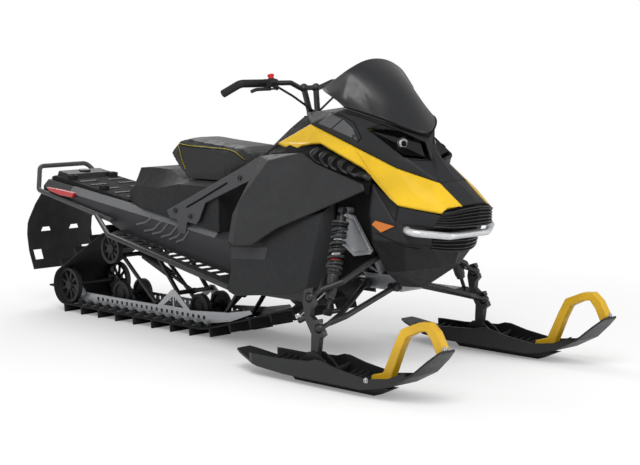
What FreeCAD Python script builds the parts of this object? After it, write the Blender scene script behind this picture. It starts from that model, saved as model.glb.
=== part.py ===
import FreeCAD, Part
import math
import os
import Sketcher

Vector = FreeCAD.Vector

# Driving dimensions in millimetres and degrees, in the part's own frame:
# +X forward, +Y to the rider's left, +Z up, origin on the ground under the middle.
SIZES = {
    # Overall
    "tail_reach": 1600,
    "front_reach": 1600,
    "running_gap": 0.3,
    "cut_overrun": 40,
    "fuse_sink": 1,
    # Track belt and its lugs
    "track_width": 381,
    "belt_thickness": 6,
    "lug_height": 38,
    "lug_root_length": 16,
    "lug_tip_length": 8,
    "lug_pitch": 73,
    "lug_side_width": 118,
    "lug_centre_width": 112,
    # Rolling pieces inside the track
    "rear_wheel_x": -1288,
    "rear_wheel_radius": 90,
    "idler_x": -920,
    "idler_z": 352,
    "idler_radius": 75,
    "drive_x": 385,
    "drive_z": 302,
    "drive_radius": 103,
    "rail_lift_x": -215,
    "wheel_width": 26,
    "wheel_offset": 152,
    "wheel_rim": 15,
    "wheel_web": 8,
    "hub_radius": 24,
    "spoke_count": 9,
    "spoke_width": 13,
    "axle_radius": 11,
    "bogie_radius": 66,
    "bogie_x": -345,
    "inner_bogie_x": -960,
    "inner_bogie_offset": 62,
    "sprocket_width": 40,
    "sprocket_offset": 78,
    "sprocket_hub_radius": 45,
    "drive_shaft_radius": 16,
    # Slide rails
    "rail_offset": 118,
    "rail_thickness": 8,
    "rail_height": 46,
    "rail_rear_x": -1304,
    "rail_tip_x": 95,
    "rail_tip_rise": 78,
    "slider_thickness": 12,
    "slider_width": 26,
    "rail_hole_size": 17,
    "rail_hole_pitch": 40,
    "rail_hole_count": 22,
    "rail_hole_start_x": -1098,
    "rail_bracket_x": -477,
    "rail_bracket_height": 84,
    "rail_bracket_base": 250,
    # Skid linkage and shock absorbers
    "skid_tube_radius": 11,
    "front_arm_top_x": 60,
    "front_arm_top_z": 330,
    "front_arm_foot_x": -150,
    "rear_arm_top_x": -690,
    "rear_arm_top_z": 395,
    "skid_shock_radius": 21,
    "strut_radius": 10,
    "strut_foot_x": -622,
    "front_shock_foot_x": -250,
    "shock_rod_radius": 8,
    # Tunnel
    "tunnel_rear_x": -1425,
    "tunnel_rear_z": 672,
    "tunnel_knee_x": -50,
    "tunnel_knee_z": 503,
    "tunnel_front_x": 555,
    "tunnel_front_low_z": 246,
    "tunnel_width": 410,
    "tunnel_wall": 5,
    "tunnel_chamfer": 30,
    "side_rear_low_z": 598,
    "side_mid_x": -950,
    "side_mid_z": 522,
    "side_low_x": -760,
    "side_low_z": 455,
    "side_front_x": 215,
    "side_front_z": 300,
    # Running boards
    "board_thickness": 5,
    "board_tube_radius": 12,
    "board_rear_half_width": 240,
    "board_corner_half_width": 315,
    "board_front_half_width": 372,
    "board_corner_x": -720,
    "board_front_x": 236.8,
    "board_slot_length": 38,
    "board_slot_pitch": 62,
    "board_slot_count": 13,
    "board_slot_margin": 22,
    # Rear bumper
    "bumper_tube_radius": 12,
    "bumper_bend": 40,
    "bumper_top_x": -1543,
    "bumper_top_z": 732,
    "bumper_top_half_width": 146,
    "bumper_corner_x": -1452,
    "bumper_corner_z": 618,
    "bumper_front_x": -820,
    "bumper_front_z": 503,
    # Snow flap
    "flap_thickness": 6,
    "flap_top_z": 672,
    "flap_bottom_z": 196,
    "flap_width": 404,
    "flap_top_width": 330,
    "flap_slot_length": 62,
    "flap_slot_height": 22,
    "flap_slot_offset": 88,
    "flap_slot_z": 385,
    "flap_window_size": 50,
    "flap_window_z": 268,
    "flap_window_offset": 152,
    # Tail lamps
    "tail_lamp_x": -1388,
    "tail_lamp_length": 237,
    "tail_lamp_z": 604,
    "tail_lamp_height": 30,
    # Cargo deck
    "deck_rear_x": -1415,
    "deck_width": 318,
    "deck_thickness": 14,
    "deck_rib_height": 10,
    "deck_rib_width": 26,
    "anchor_rear_x": -1280,
    "anchor_front_x": -1010,
    "anchor_half": 125,
    "anchor_radius": 26,
    "anchor_height": 20,
    "anchor_slot_depth": 10,
    "anchor_slot_width": 12,
    # Seat and storage box
    "seat_rear_x": -470,
    "seat_length": 625,
    "seat_low_z": 724,
    "seat_thickness": 190,
    "seat_width": 300,
    "seat_top_width": 214,
    "seat_front_width": 220,
    "seat_shoulder": 60,
    "box_rear_x": -765,
    "box_length": 725,
    "box_rear_height": 185,
    "box_width": 390,
    # Side frame braces
    "brace_thickness": 9,
    "brace_foot_x": -290,
    "brace_foot_z": 553,
    "brace_head_x": 285,
    "brace_head_z": 868,
    "brace_depth": 52,
    # Cowl, whose corners are shares of this length, half width and height
    "cowl_start_x": 200,
    "cowl_length": 1000,
    "cowl_half_width": 400,
    "hood_height": 1000,
    "panel_wall": 12,
    "grille_depth": 12,
    "rib_width": 27,
    "rib_depth": 34,
    "rib_back": 6,
    # Engine block behind the cowl
    "engine_rear_x": 672,
    "engine_length": 270,
    "engine_width": 380,
    "engine_height": 285,
    # Front bumper
    "nose_bar_radius": 14,
    "nose_bar_front_x": 1275,
    "nose_bar_z": 576,
    "nose_bar_front_half": 112,
    "nose_bar_side_x": 1172,
    "nose_bar_side_z": 597,
    "nose_bar_side_half": 268,
    "nose_bar_end_x": 1128,
    "nose_bar_end_z": 599,
    "nose_bar_end_half": 201,
    "nose_bar_bend": 45,
    # Bulkhead and front suspension
    "bulkhead_rear_x": 750,
    "bulkhead_length": 215,
    "bulkhead_low_z": 318,
    "bulkhead_high_z": 500,
    "bulkhead_side_wall": 14,
    "tower_half": 215,
    "tower_bend": 22,
    "bearing_radius": 27,
    "bearing_length": 36,
    "bearing_z": 415,
    "arm_tube_radius": 12,
    "arm_boss_radius": 17,
    "arm_boss_length": 44,
    "ball_radius": 20,
    "stub_radius": 10,
    "stub_length": 58,
    "upper_spread": 51,
    "upper_spread_half": 372,
    "lower_arm_front_x": 935,
    "lower_arm_rear_x": 770,
    "lower_arm_inner_z": 337,
    "lower_arm_inner_half": 78,
    "upper_arm_front_x": 940,
    "upper_arm_rear_x": 775,
    "upper_arm_inner_z": 478,
    "upper_arm_inner_half": 165,
    "shock_top_x": 846,
    "shock_top_z": 664,
    "shock_top_half": 282,
    "shock_low_x": 890,
    "shock_low_z": 268,
    "shock_low_half": 414,
    "spring_radius": 27,
    "spring_wire_radius": 4.5,
    "spring_turns": 9,
    "spring_seat_height": 6,
    "shock_body_radius": 20,
    "eye_radius": 14,
    "eye_length": 28,
    "eye_neck": 26,
    "lamp_thickness": 7,
    # Steering geometry
    "ski_stance": 990,
    "caster": 24,
    "kingpin_x": 933,
    "kingpin_z": 219,
    "kingpin_span": 130,
    "steering_arm": 104,
    "tie_ball_z": 278,
    "tie_rod_radius": 8,
    "post_x": 385,
    "post_z": 1034,
    "post_radius": 15,
    "pitman_ball_half": 26,
    "pitman_ball_z": 372,
    "ball_stud_radius": 11,
    # Spindles
    "spindle_width": 24,
    "ski_bolt_x": 906,
    "ski_bolt_z": 108,
    "ski_bolt_radius": 9,
    "spindle_foot_radius": 21,
    # Skis
    "ski_tail_x": 466,
    "ski_width": 168,
    "ski_sole": 9,
    "ski_keel_height": 30,
    "ski_keel_width": 46,
    "ski_tip_rise": 198,
    "ski_saddle_gap": 5,
    "ski_saddle_wall": 9,
    "ski_saddle_length": 250,
    "ski_saddle_height": 93,
    "ski_rim": 7,
    "loop_width": 36,
    "loop_low_z": 62,
    "loop_high_z": 312,
    # Handlebar
    "bar_radius": 11,
    "bar_bend": 45,
    "clamp_z": 1148,
    "clamp_half": 36,
    "bar_rise_half": 122,
    "bar_rise_x": 372,
    "bar_rise_z": 1172,
    "bar_end_half": 372,
    "bar_end_x": 330,
    "bar_end_z": 1173,
    "hook_half": 398,
    "hook_x": 268,
    "hook_z": 1138,
    "grip_radius": 17,
    "grip_length": 118,
    "riser_radius": 13,
    "control_length": 62,
    "control_height": 36,
    "lever_thickness": 8,
    "cable_radius": 5,
    "cable_dip": 40,
    "cable_bend": 35,
    "cable_end_z": 930,
}


# Sizes that carry their number and their sheet expression
class Size:
    """A length: its number in millimetres and the sheet expression that gives it."""

    def __init__(self, mm, text):
        self.mm = mm
        self.text = text

    def __add__(self, other):
        other = as_size(other)
        return Size(self.mm + other.mm, f"({self.text} + {other.text})")

    def __sub__(self, other):
        other = as_size(other)
        return Size(self.mm - other.mm, f"({self.text} - {other.text})")

    def __mul__(self, factor):
        return Size(self.mm * factor, f"({self.text} * {factor:.6f})")

    def __truediv__(self, factor):
        return Size(self.mm / factor, f"({self.text} / {factor:.6f})")

    def __neg__(self):
        return Size(-self.mm, f"(0 - {self.text})")

    __rmul__ = __mul__
    __radd__ = __add__


def as_size(value):
    if isinstance(value, Size):
        return value
    return Size(value, f"{value:.6f}")


class Sheet:
    """The spreadsheet of driving dimensions, read as attributes."""

    def __init__(self, document, sizes):
        self.cells = document.addObject("Spreadsheet::Sheet", "Sizes")
        for row, (alias, value) in enumerate(sizes.items(), start=1):
            self.cells.set(f"A{row}", alias)
            self.cells.set(f"B{row}", str(value))
            self.cells.setAlias(f"B{row}", alias)
            setattr(self, alias, Size(float(value), f"Sizes.{alias}"))


doc = FreeCAD.newDocument("snowmobile")
S = Sheet(doc, SIZES)
doc.recompute()
ZERO = Size(0.0, "0")
nodes = []


def node(part, name):
    """Name a finished sub-part, which becomes one node."""
    part.Label = name
    nodes.append(part)
    return part


def bind(part, **sizes):
    """Bind the named properties of an object to sheet expressions."""
    for prop, size in sizes.items():
        part.setExpression(prop.replace("__", "."), as_size(size).text)


# Sketches and bodies
def sketch(body, name, role, outlines, offset=ZERO):
    """A fully bound sketch: each outline is a closed list of (across, up) sizes or a circle."""
    made = body.newObject("Sketcher::SketchObject", name)
    plane = [datum for datum in body.Origin.OriginFeatures if datum.Role == role][0]
    made.AttachmentSupport = [(plane, "")]
    made.MapMode = "FlatFace"
    bind(made, AttachmentOffset__Base__z=offset)
    for outline in outlines:
        if isinstance(outline, tuple):
            draw_circle(made, *outline)
        else:
            draw_polygon(made, outline)
    return made


def draw_polygon(made, corners):
    first = made.GeometryCount
    spots = [Vector(across.mm, up.mm, 0) for across, up in corners]
    for spot, following in zip(spots, spots[1:] + spots[:1]):
        made.addGeometry(Part.LineSegment(spot, following), False)
    last = made.GeometryCount - 1
    for line in range(first, last + 1):
        following = first if line == last else line + 1
        made.addConstraint(Sketcher.Constraint("Coincident", line, 2, following, 1))
    for line, (across, up) in enumerate(corners, start=first):
        pin_point(made, line, 1, across, up)


def draw_circle(made, across, up, radius):
    circle = Part.Circle(Vector(across.mm, up.mm, 0), Vector(0, 0, 1), radius.mm)
    ring = made.addGeometry(circle, False)
    pin_point(made, ring, 3, across, up)
    index = made.addConstraint(Sketcher.Constraint("Radius", ring, radius.mm))
    made.setExpression(f"Constraints[{index}]", radius.text)


def pin_point(made, line, end, across, up):
    for kind, size in (("DistanceX", across), ("DistanceY", up)):
        index = made.addConstraint(Sketcher.Constraint(kind, -1, 1, line, end, size.mm))
        made.setExpression(f"Constraints[{index}]", size.text)


def box_outline(low_u, high_u, low_v, high_v):
    return [(low_u, low_v), (high_u, low_v), (high_u, high_v), (low_u, high_v)]


def share_outline(start_u, span_u, start_v, span_v, shares):
    return [(start_u + span_u * u, start_v + span_v * v) for u, v in shares]


def new_body(name):
    return doc.addObject("PartDesign::Body", name)


def pad(body, profile, length, midplane=False, reverse=False):
    made = body.newObject("PartDesign::Pad", f"{profile.Name}_pad")
    made.Profile = profile
    made.Midplane = midplane
    made.Reversed = reverse
    bind(made, Length=length)
    return made


def pocket(body, profile, length, midplane=True, reverse=False):
    made = body.newObject("PartDesign::Pocket", f"{profile.Name}_cut")
    made.Profile = profile
    made.Midplane = midplane
    made.Reversed = reverse
    bind(made, Length=length)
    return made


def slab(name, role, outlines, length, offset=ZERO, midplane=True, reverse=False):
    """A body of one padded sketch."""
    body = new_body(name)
    profile = sketch(body, f"{name}_outline", role, outlines, offset)
    pad(body, profile, length, midplane, reverse)
    return body


def repeat(body, feature, role, length, count):
    """A linear pattern of a feature along an axis of the body."""
    made = body.newObject("PartDesign::LinearPattern", f"{feature.Name}_row")
    made.Originals = [feature]
    axis = [datum for datum in body.Origin.OriginFeatures if datum.Role == role][0]
    made.Direction = (axis, [""])
    bind(made, Length=length, Occurrences=count)
    body.Tip = made
    return made


# Part primitives and booleans
def cylinder(name, radius, length, place, turn=None):
    """A cylinder whose axis is Z unless turned about an axis by degrees."""
    made = doc.addObject("Part::Cylinder", name)
    bind(made, Radius=radius, Height=length)
    put(made, place, turn)
    return made


def put(part, place, turn=None):
    if turn:
        axis, angle = turn
        part.Placement.Rotation = FreeCAD.Rotation(Vector(*axis), angle)
    for letter, size in zip("xyz", place):
        part.setExpression(f"Placement.Base.{letter}", as_size(size).text)


def join(name, parts):
    made = doc.addObject("Part::MultiFuse", name)
    made.Shapes = parts
    return made


def cut(name, base, tool):
    made = doc.addObject("Part::Cut", name)
    made.Base = base
    made.Tool = tool
    return made


def mirrored(source, name):
    """The other hand of a sub-part, across the middle plane."""
    made = doc.addObject("Part::Mirroring", name)
    made.Source = source
    made.Normal = Vector(0, 1, 0)
    return made


def pair(name, source):
    """A sub-part and its other hand, in one node."""
    return join(name, [source, mirrored(source, f"{name}_other_hand")])


def shaped(name, shape):
    """A piece whose form comes from curve and surface functions."""
    made = doc.addObject("Part::Feature", name)
    made.Shape = shape
    return made


# Shape functions for bent tubes, rods and faceted panels
def vector(x, y, z):
    return Vector(as_size(x).mm, as_size(y).mm, as_size(z).mm)


def flip(point):
    return Vector(point.x, -point.y, point.z)


def rod(start, end, radius, end_radius=None):
    """A straight round bar, tapered when an end radius is given."""
    line = end - start
    if end_radius is None:
        return Part.makeCylinder(radius.mm, line.Length, start, line)
    return Part.makeCone(radius.mm, end_radius.mm, line.Length, start, line)


def bent_path(points, bend):
    """Straight runs through the points, joined by tangent arcs of one radius."""
    edges = []
    start = points[0]
    for before, corner, after in zip(points, points[1:], points[2:]):
        into = (before - corner).normalize()
        out = (after - corner).normalize()
        half = into.getAngle(out) / 2
        reach = bend / math.tan(half)
        first = corner + into * reach
        second = corner + out * reach
        middle = corner + (into + out).normalize() * (bend / math.sin(half) - bend)
        edges.append(Part.LineSegment(start, first).toShape())
        edges.append(Part.Arc(first, middle, second).toShape())
        start = second
    edges.append(Part.LineSegment(start, points[-1]).toShape())
    return Part.Wire(edges)


def tube(points, radius, bend):
    """A bent round tube along the points."""
    path = bent_path(points, bend.mm)
    ring = Part.Circle(points[0], points[1] - points[0], radius.mm)
    profile = Part.Wire([ring.toShape()])
    return path.makePipeShell([profile], True, False)


def facet(points):
    return Part.Face(Part.makePolygon(list(points) + [points[0]]))


def toward(centre, share):
    """An inward step for each corner: its share of the way to a centre."""
    return lambda point: (centre - point) * share


def panel(corners, faces, inward):
    """A faceted panel: the outer faces, the same faces moved inward, and its edges between."""
    step = inward if callable(inward) else lambda point: inward
    inner = {name: point + step(point) for name, point in corners.items()}
    shell = []
    count = {}
    for face in faces:
        for edge in zip(face, face[1:] + face[:1]):
            count[edge] = count.get(edge, 0) + 1
    for face in faces:
        for corner in range(1, len(face) - 1):
            names = (face[0], face[corner], face[corner + 1])
            shell.append(facet([corners[name] for name in names]))
            shell.append(facet([inner[name] for name in names]))
    for first, second in count:
        if (second, first) not in count:
            shell.append(facet([corners[first], corners[second], inner[second]]))
            shell.append(facet([corners[first], inner[second], inner[first]]))
    solid = Part.makeSolid(Part.makeShell(shell)).removeSplitter()
    if solid.Volume < 0:
        solid.reverse()
    return solid


def cowl(x_share, y_share, z_share):
    """A corner of the cowl on the right-hand side, from shares of its three sizes."""
    x = S.cowl_start_x + S.cowl_length * x_share
    y = S.cowl_half_width * y_share
    z = S.hood_height * z_share
    return vector(x, -y, z)


def cowl_corners(shares):
    return {name: cowl(*share) for name, share in shares.items()}


def both_hands(corners, faces):
    """Corners and faces of the right half with their mirror images, sharing the middle line."""
    names = {}
    for name, point in list(corners.items()):
        middle = abs(point.y) < S.running_gap.mm
        names[name] = name if middle else f"{name}_left"
        corners[names[name]] = flip(point)
    return corners, faces + [[names[corner] for corner in reversed(face)] for face in faces]


def box_between(low, high):
    size = high - low
    return Part.makeBox(size.x, size.y, size.z, low)


# Track: one closed belt around the rear wheels, upper idlers and drive sprockets
belt_inner_z = S.lug_height + S.belt_thickness
rear_wheel_z = belt_inner_z + S.rear_wheel_radius


def belt_circles():
    """Centre and radius of what the belt runs around, in running order."""
    lift_radius = S.rear_wheel_radius.mm * 4
    return [
        (S.rear_wheel_x.mm, rear_wheel_z.mm, S.rear_wheel_radius.mm),
        (S.rail_lift_x.mm, belt_inner_z.mm + lift_radius, lift_radius),
        (S.drive_x.mm, S.drive_z.mm, S.drive_radius.mm),
        (S.idler_x.mm, S.idler_z.mm, S.idler_radius.mm),
    ]


def belt_runs(offset):
    """Tangent points between neighbouring circles, for a loop grown by the offset."""
    circles = belt_circles()
    runs = []
    for (ax, az, ar), (bx, bz, br) in zip(circles, circles[1:] + circles[:1]):
        distance = math.hypot(bx - ax, bz - az)
        heading = math.atan2(bz - az, bx - ax)
        normal = heading - math.acos((ar - br) / distance)
        side = Vector(math.cos(normal), 0, math.sin(normal))
        start = Vector(ax, 0, az) + side * (ar + offset)
        end = Vector(bx, 0, bz) + side * (br + offset)
        runs.append((start, end, side))
    return runs


def belt_edges(offset):
    """The belt's loop, grown by the offset: straight runs and the arcs around each circle."""
    edges = []
    runs = belt_runs(offset)
    circles = belt_circles()
    for index, (start, end, side) in enumerate(runs):
        after = (index + 1) % len(runs)
        next_start, _, next_side = runs[after]
        x, z, radius = circles[after]
        middle = Vector(x, 0, z) + (side + next_side).normalize() * (radius + offset)
        edges.append(Part.LineSegment(start, end).toShape())
        edges.append(Part.Arc(end, middle, next_start).toShape())
    return edges


def belt_stations(edges, count):
    """Evenly spaced places along the belt with the outward direction at each."""
    pitch = sum(edge.Length for edge in edges) / count
    stations = []
    for index in range(count):
        distance = pitch * index
        for edge in edges:
            if distance < edge.Length:
                break
            distance -= edge.Length
        parameter = edge.getParameterByLength(distance)
        along = edge.tangentAt(parameter)
        stations.append((edge.valueAt(parameter), Vector(along.z, 0, -along.x), along))
    return stations


def lug(place, outward, along, middle_y, width):
    """One tapered paddle standing on the belt."""
    root = place - outward * S.fuse_sink.mm
    tip = place + outward * S.lug_height.mm
    half_root = along * (S.lug_root_length.mm / 2)
    half_tip = along * (S.lug_tip_length.mm / 2)
    shift = Vector(0, middle_y - width / 2, 0)
    corners = [root - half_root, root + half_root, tip + half_tip, tip - half_tip]
    return facet([corner + shift for corner in corners]).extrude(Vector(0, width, 0))


def make_track():
    edges = belt_edges(S.belt_thickness.mm)
    ring = Part.Face(Part.Wire(edges)).cut(Part.Face(Part.Wire(belt_edges(0))))
    ring.translate(Vector(0, -S.track_width.mm / 2, 0))
    belt = ring.extrude(Vector(0, S.track_width.mm, 0))
    count = 2 * round(Part.Wire(edges).Length / S.lug_pitch.mm / 2)
    side_middle = (S.track_width.mm - S.lug_side_width.mm) / 2
    paddles = []
    for index, station in enumerate(belt_stations(edges, count)):
        if index % 2:
            paddles.append(lug(*station, 0, S.lug_centre_width.mm))
        else:
            paddles.append(lug(*station, side_middle, S.lug_side_width.mm))
            paddles.append(lug(*station, -side_middle, S.lug_side_width.mm))
    return belt.multiFuse(paddles).removeSplitter()


node(shaped("track", make_track()), "track")


# Wheels: a rim, a hub and spokes between them
def spoked_wheel(x, z, radius, middle_y):
    rim_inner = radius - S.wheel_rim.mm
    start = middle_y - S.wheel_width.mm / 2
    ring = Part.makeCylinder(radius, S.wheel_width.mm, Vector(x, start, z), Vector(0, 1, 0))
    ring = ring.cut(Part.makeCylinder(rim_inner, S.wheel_width.mm, Vector(x, start, z), Vector(0, 1, 0)))
    hub = Part.makeCylinder(S.hub_radius.mm, S.wheel_width.mm, Vector(x, start, z), Vector(0, 1, 0))
    spokes = []
    for index in range(int(S.spoke_count.mm)):
        length = rim_inner - S.hub_radius.mm + 2 * S.fuse_sink.mm
        bar = Part.makeBox(length, S.wheel_web.mm, S.spoke_width.mm)
        bar.translate(Vector(S.hub_radius.mm - S.fuse_sink.mm, -S.wheel_web.mm / 2, -S.spoke_width.mm / 2))
        bar.rotate(Vector(0, 0, 0), Vector(0, 1, 0), index * 360 / S.spoke_count.mm)
        bar.translate(Vector(x, middle_y, z))
        spokes.append(bar)
    return ring.multiFuse([hub] + spokes).removeSplitter()


def plain_wheel(x, z, radius, middle_y):
    start = Vector(x, middle_y - S.wheel_width.mm / 2, z)
    disc = Part.makeCylinder(radius, S.wheel_width.mm, start, Vector(0, 1, 0))
    dish = Part.makeCylinder(radius - S.wheel_rim.mm, S.wheel_web.mm, start, Vector(0, 1, 0))
    far_dish = dish.translated(Vector(0, S.wheel_width.mm - S.wheel_web.mm, 0))
    hub = Part.makeCylinder(S.hub_radius.mm, S.wheel_width.mm, start, Vector(0, 1, 0))
    return disc.cut(dish).cut(far_dish).fuse(hub).removeSplitter()


def wheel_set(name, maker, x, z, radius, offset):
    """Two wheels fixed on one cross axle."""
    axle_half = offset + S.wheel_width.mm / 2
    axle = Part.makeCylinder(
        S.axle_radius.mm, 2 * axle_half, Vector(x, -axle_half, z), Vector(0, 1, 0))
    wheels = [maker(x, z, radius, side * offset) for side in (-1, 1)]
    return axle.multiFuse(wheels).removeSplitter()


wheel_gap = S.running_gap
bogie_z = belt_inner_z + wheel_gap + S.bogie_radius
rear_wheels = wheel_set("rear", spoked_wheel, S.rear_wheel_x.mm, rear_wheel_z.mm,
                        (S.rear_wheel_radius - wheel_gap).mm, S.wheel_offset.mm)
node(shaped("rear_wheels", rear_wheels), "rear_wheels")
idlers = wheel_set("idler", spoked_wheel, S.idler_x.mm, S.idler_z.mm,
                   (S.idler_radius - wheel_gap).mm, S.wheel_offset.mm)
inner_bogies = wheel_set("inner", plain_wheel, S.inner_bogie_x.mm, bogie_z.mm,
                         S.bogie_radius.mm, S.inner_bogie_offset.mm)
front_bogies = wheel_set("front", plain_wheel, S.bogie_x.mm, bogie_z.mm,
                         S.bogie_radius.mm, S.inner_bogie_offset.mm)
node(shaped("idler_wheels", Part.makeCompound([idlers, inner_bogies, front_bogies])), "idler_wheels")


# Drive shaft with two toothed sprockets
def sprocket(middle_y):
    start = Vector(S.drive_x.mm, middle_y - S.sprocket_width.mm / 2, S.drive_z.mm)
    radius = (S.drive_radius - wheel_gap).mm
    disc = Part.makeCylinder(radius, S.sprocket_width.mm, start, Vector(0, 1, 0))
    dish_radius = radius - S.wheel_rim.mm
    dish = Part.makeCylinder(dish_radius, S.wheel_web.mm, start, Vector(0, 1, 0))
    far_dish = dish.translated(Vector(0, S.sprocket_width.mm - S.wheel_web.mm, 0))
    hub = Part.makeCylinder(S.sprocket_hub_radius.mm, S.sprocket_width.mm, start, Vector(0, 1, 0))
    return disc.cut(dish).cut(far_dish).fuse(hub)


shaft_length = S.tunnel_width - S.tunnel_wall * 2 - S.running_gap * 2
shaft_start = Vector(S.drive_x.mm, -shaft_length.mm / 2, S.drive_z.mm)
shaft = Part.makeCylinder(S.drive_shaft_radius.mm, shaft_length.mm, shaft_start, Vector(0, 1, 0))
sprockets = [sprocket(side * S.sprocket_offset.mm) for side in (-1, 1)]
node(shaped("drive_shaft", shaft.multiFuse(sprockets).removeSplitter()), "drive_shaft")

# Slide rails: upright plates with a row of punched holes, a peak for the linkage and a slider below
rail_low_z = belt_inner_z + S.slider_thickness
rail_top_z = rail_low_z + S.rail_height


def rail_outline():
    """The rail's side view, from its rear end round to its raised tip."""
    peak = rail_top_z + S.rail_bracket_height
    half = S.rail_bracket_base / 2
    knee_x = (S.rail_lift_x + S.rail_tip_x) / 2
    knee_z = rail_low_z + S.rail_tip_rise * 0.32
    tail_top = rear_wheel_z + S.hub_radius
    return [
        (S.rail_rear_x, rail_low_z + S.rail_height / 4),
        (S.rear_wheel_x, rail_low_z),
        (S.rail_lift_x, rail_low_z),
        (knee_x, knee_z),
        (S.rail_tip_x, rail_low_z + S.rail_tip_rise),
        (S.rail_tip_x - S.rail_height / 3, rail_low_z + S.rail_tip_rise + S.rail_height / 3),
        (knee_x - S.rail_height / 4, knee_z + S.rail_height * 0.9),
        (S.rail_bracket_x + half, rail_top_z),
        (S.rail_bracket_x + S.rail_height / 3, peak),
        (S.rail_bracket_x - S.rail_height / 3, peak),
        (S.rail_bracket_x - half, rail_top_z),
        (S.rear_wheel_x + S.rear_wheel_radius, rail_top_z),
        (S.rear_wheel_x + S.hub_radius, tail_top),
        (S.rail_rear_x, tail_top),
    ]


def make_rail():
    body = new_body("rail_plate")
    plane_offset = S.rail_offset
    outline = sketch(body, "rail_side", "XZ_Plane", [rail_outline()], plane_offset)
    pad(body, outline, S.rail_thickness, midplane=True)
    hole_low = rail_low_z + (S.rail_height - S.rail_hole_size) / 2
    square = box_outline(S.rail_hole_start_x, S.rail_hole_start_x + S.rail_hole_size,
                         hole_low, hole_low + S.rail_hole_size)
    hole = sketch(body, "rail_hole", "XZ_Plane", [square], plane_offset)
    first = pocket(body, hole, S.cut_overrun)
    run = S.rail_hole_pitch * (S.rail_hole_count.mm - 1)
    repeat(body, first, "X_Axis", run, S.rail_hole_count)
    axle = (S.rear_wheel_x, rear_wheel_z, S.axle_radius + S.running_gap)
    pocket(body, sketch(body, "rail_axle", "XZ_Plane", [axle], plane_offset), S.cut_overrun)
    half = S.rail_bracket_base * 0.3
    window_low = rail_top_z + S.rail_hole_size / 4
    window_high = rail_top_z + S.rail_bracket_height * 0.62
    post_half = S.rail_hole_size * 0.3
    left = [(S.rail_bracket_x - half, window_low), (S.rail_bracket_x - post_half, window_low),
            (S.rail_bracket_x - post_half, window_high)]
    right = [(S.rail_bracket_x + post_half, window_low), (S.rail_bracket_x + half, window_low),
             (S.rail_bracket_x + post_half, window_high)]
    windows = sketch(body, "rail_windows", "XZ_Plane", [left, right], plane_offset)
    pocket(body, windows, S.cut_overrun)
    return body


def make_slider():
    """The wear strip between the rail and the belt."""
    low = belt_inner_z + wheel_gap
    outline = box_outline(S.rear_wheel_x, S.rail_lift_x, low, rail_low_z)
    return slab("slider", "XZ_Plane", [outline], S.slider_width, S.rail_offset)


right_rail = join("rail_right", [make_rail(), make_slider()])
node(pair("slide_rails_pair", right_rail), "slide_rails")


# Shock absorbers: an eye at each end, a wide body and a thin rod
def make_eye(centre, direction):
    start = centre - direction * (S.eye_length.mm / 2)
    return Part.makeCylinder(S.eye_radius.mm, S.eye_length.mm, start, direction)


def make_shock(top, foot, radius, body_share, pin_direction):
    along = (foot - top).normalize()
    shoulder = top + along * S.eye_neck.mm
    middle = top + (foot - top) * body_share
    pieces = [rod(top, foot, S.shock_rod_radius), rod(shoulder, middle, radius)]
    pieces += [make_eye(end, pin_direction) for end in (top, foot)]
    return pieces


# Skid linkage: a front and a rear arm, the struts of the upper wheels, and two shock absorbers
def cross_tube(x, z, half, radius):
    return Part.makeCylinder(radius.mm, 2 * half.mm, vector(x, -half, z), Vector(0, 1, 0))


def linkage_arm(top_x, top_z, foot_x, foot_z, half, top_half):
    top = cross_tube(top_x, top_z, top_half, S.skid_tube_radius)
    foot = cross_tube(foot_x, foot_z, half, S.skid_tube_radius)
    legs = [rod(vector(top_x, half * side * 0.8, top_z), vector(foot_x, half * side * 0.8, foot_z),
                S.skid_tube_radius) for side in (-1, 1)]
    return [top, foot] + legs


arm_foot_half = S.rail_offset - S.rail_thickness / 2 - S.running_gap
arm_top_half = S.tunnel_width / 2 - S.tunnel_wall - S.running_gap
arm_foot_z = rail_low_z + S.rail_height / 2


def make_front_linkage():
    """The front arm, and the shock absorber from its top tube down to a tube between the rails."""
    arm = linkage_arm(S.front_arm_top_x, S.front_arm_top_z, S.front_arm_foot_x, arm_foot_z,
                      arm_foot_half, arm_top_half)
    top = vector(S.front_arm_top_x, ZERO, S.front_arm_top_z)
    foot = vector(S.front_shock_foot_x, ZERO, arm_foot_z)
    carrier = cross_tube(S.front_shock_foot_x, arm_foot_z, arm_foot_half, S.skid_tube_radius)
    shock = make_shock(top, foot, S.skid_shock_radius, 0.55, Vector(0, 1, 0))
    return carrier.multiFuse(arm + shock).removeSplitter()


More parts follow.
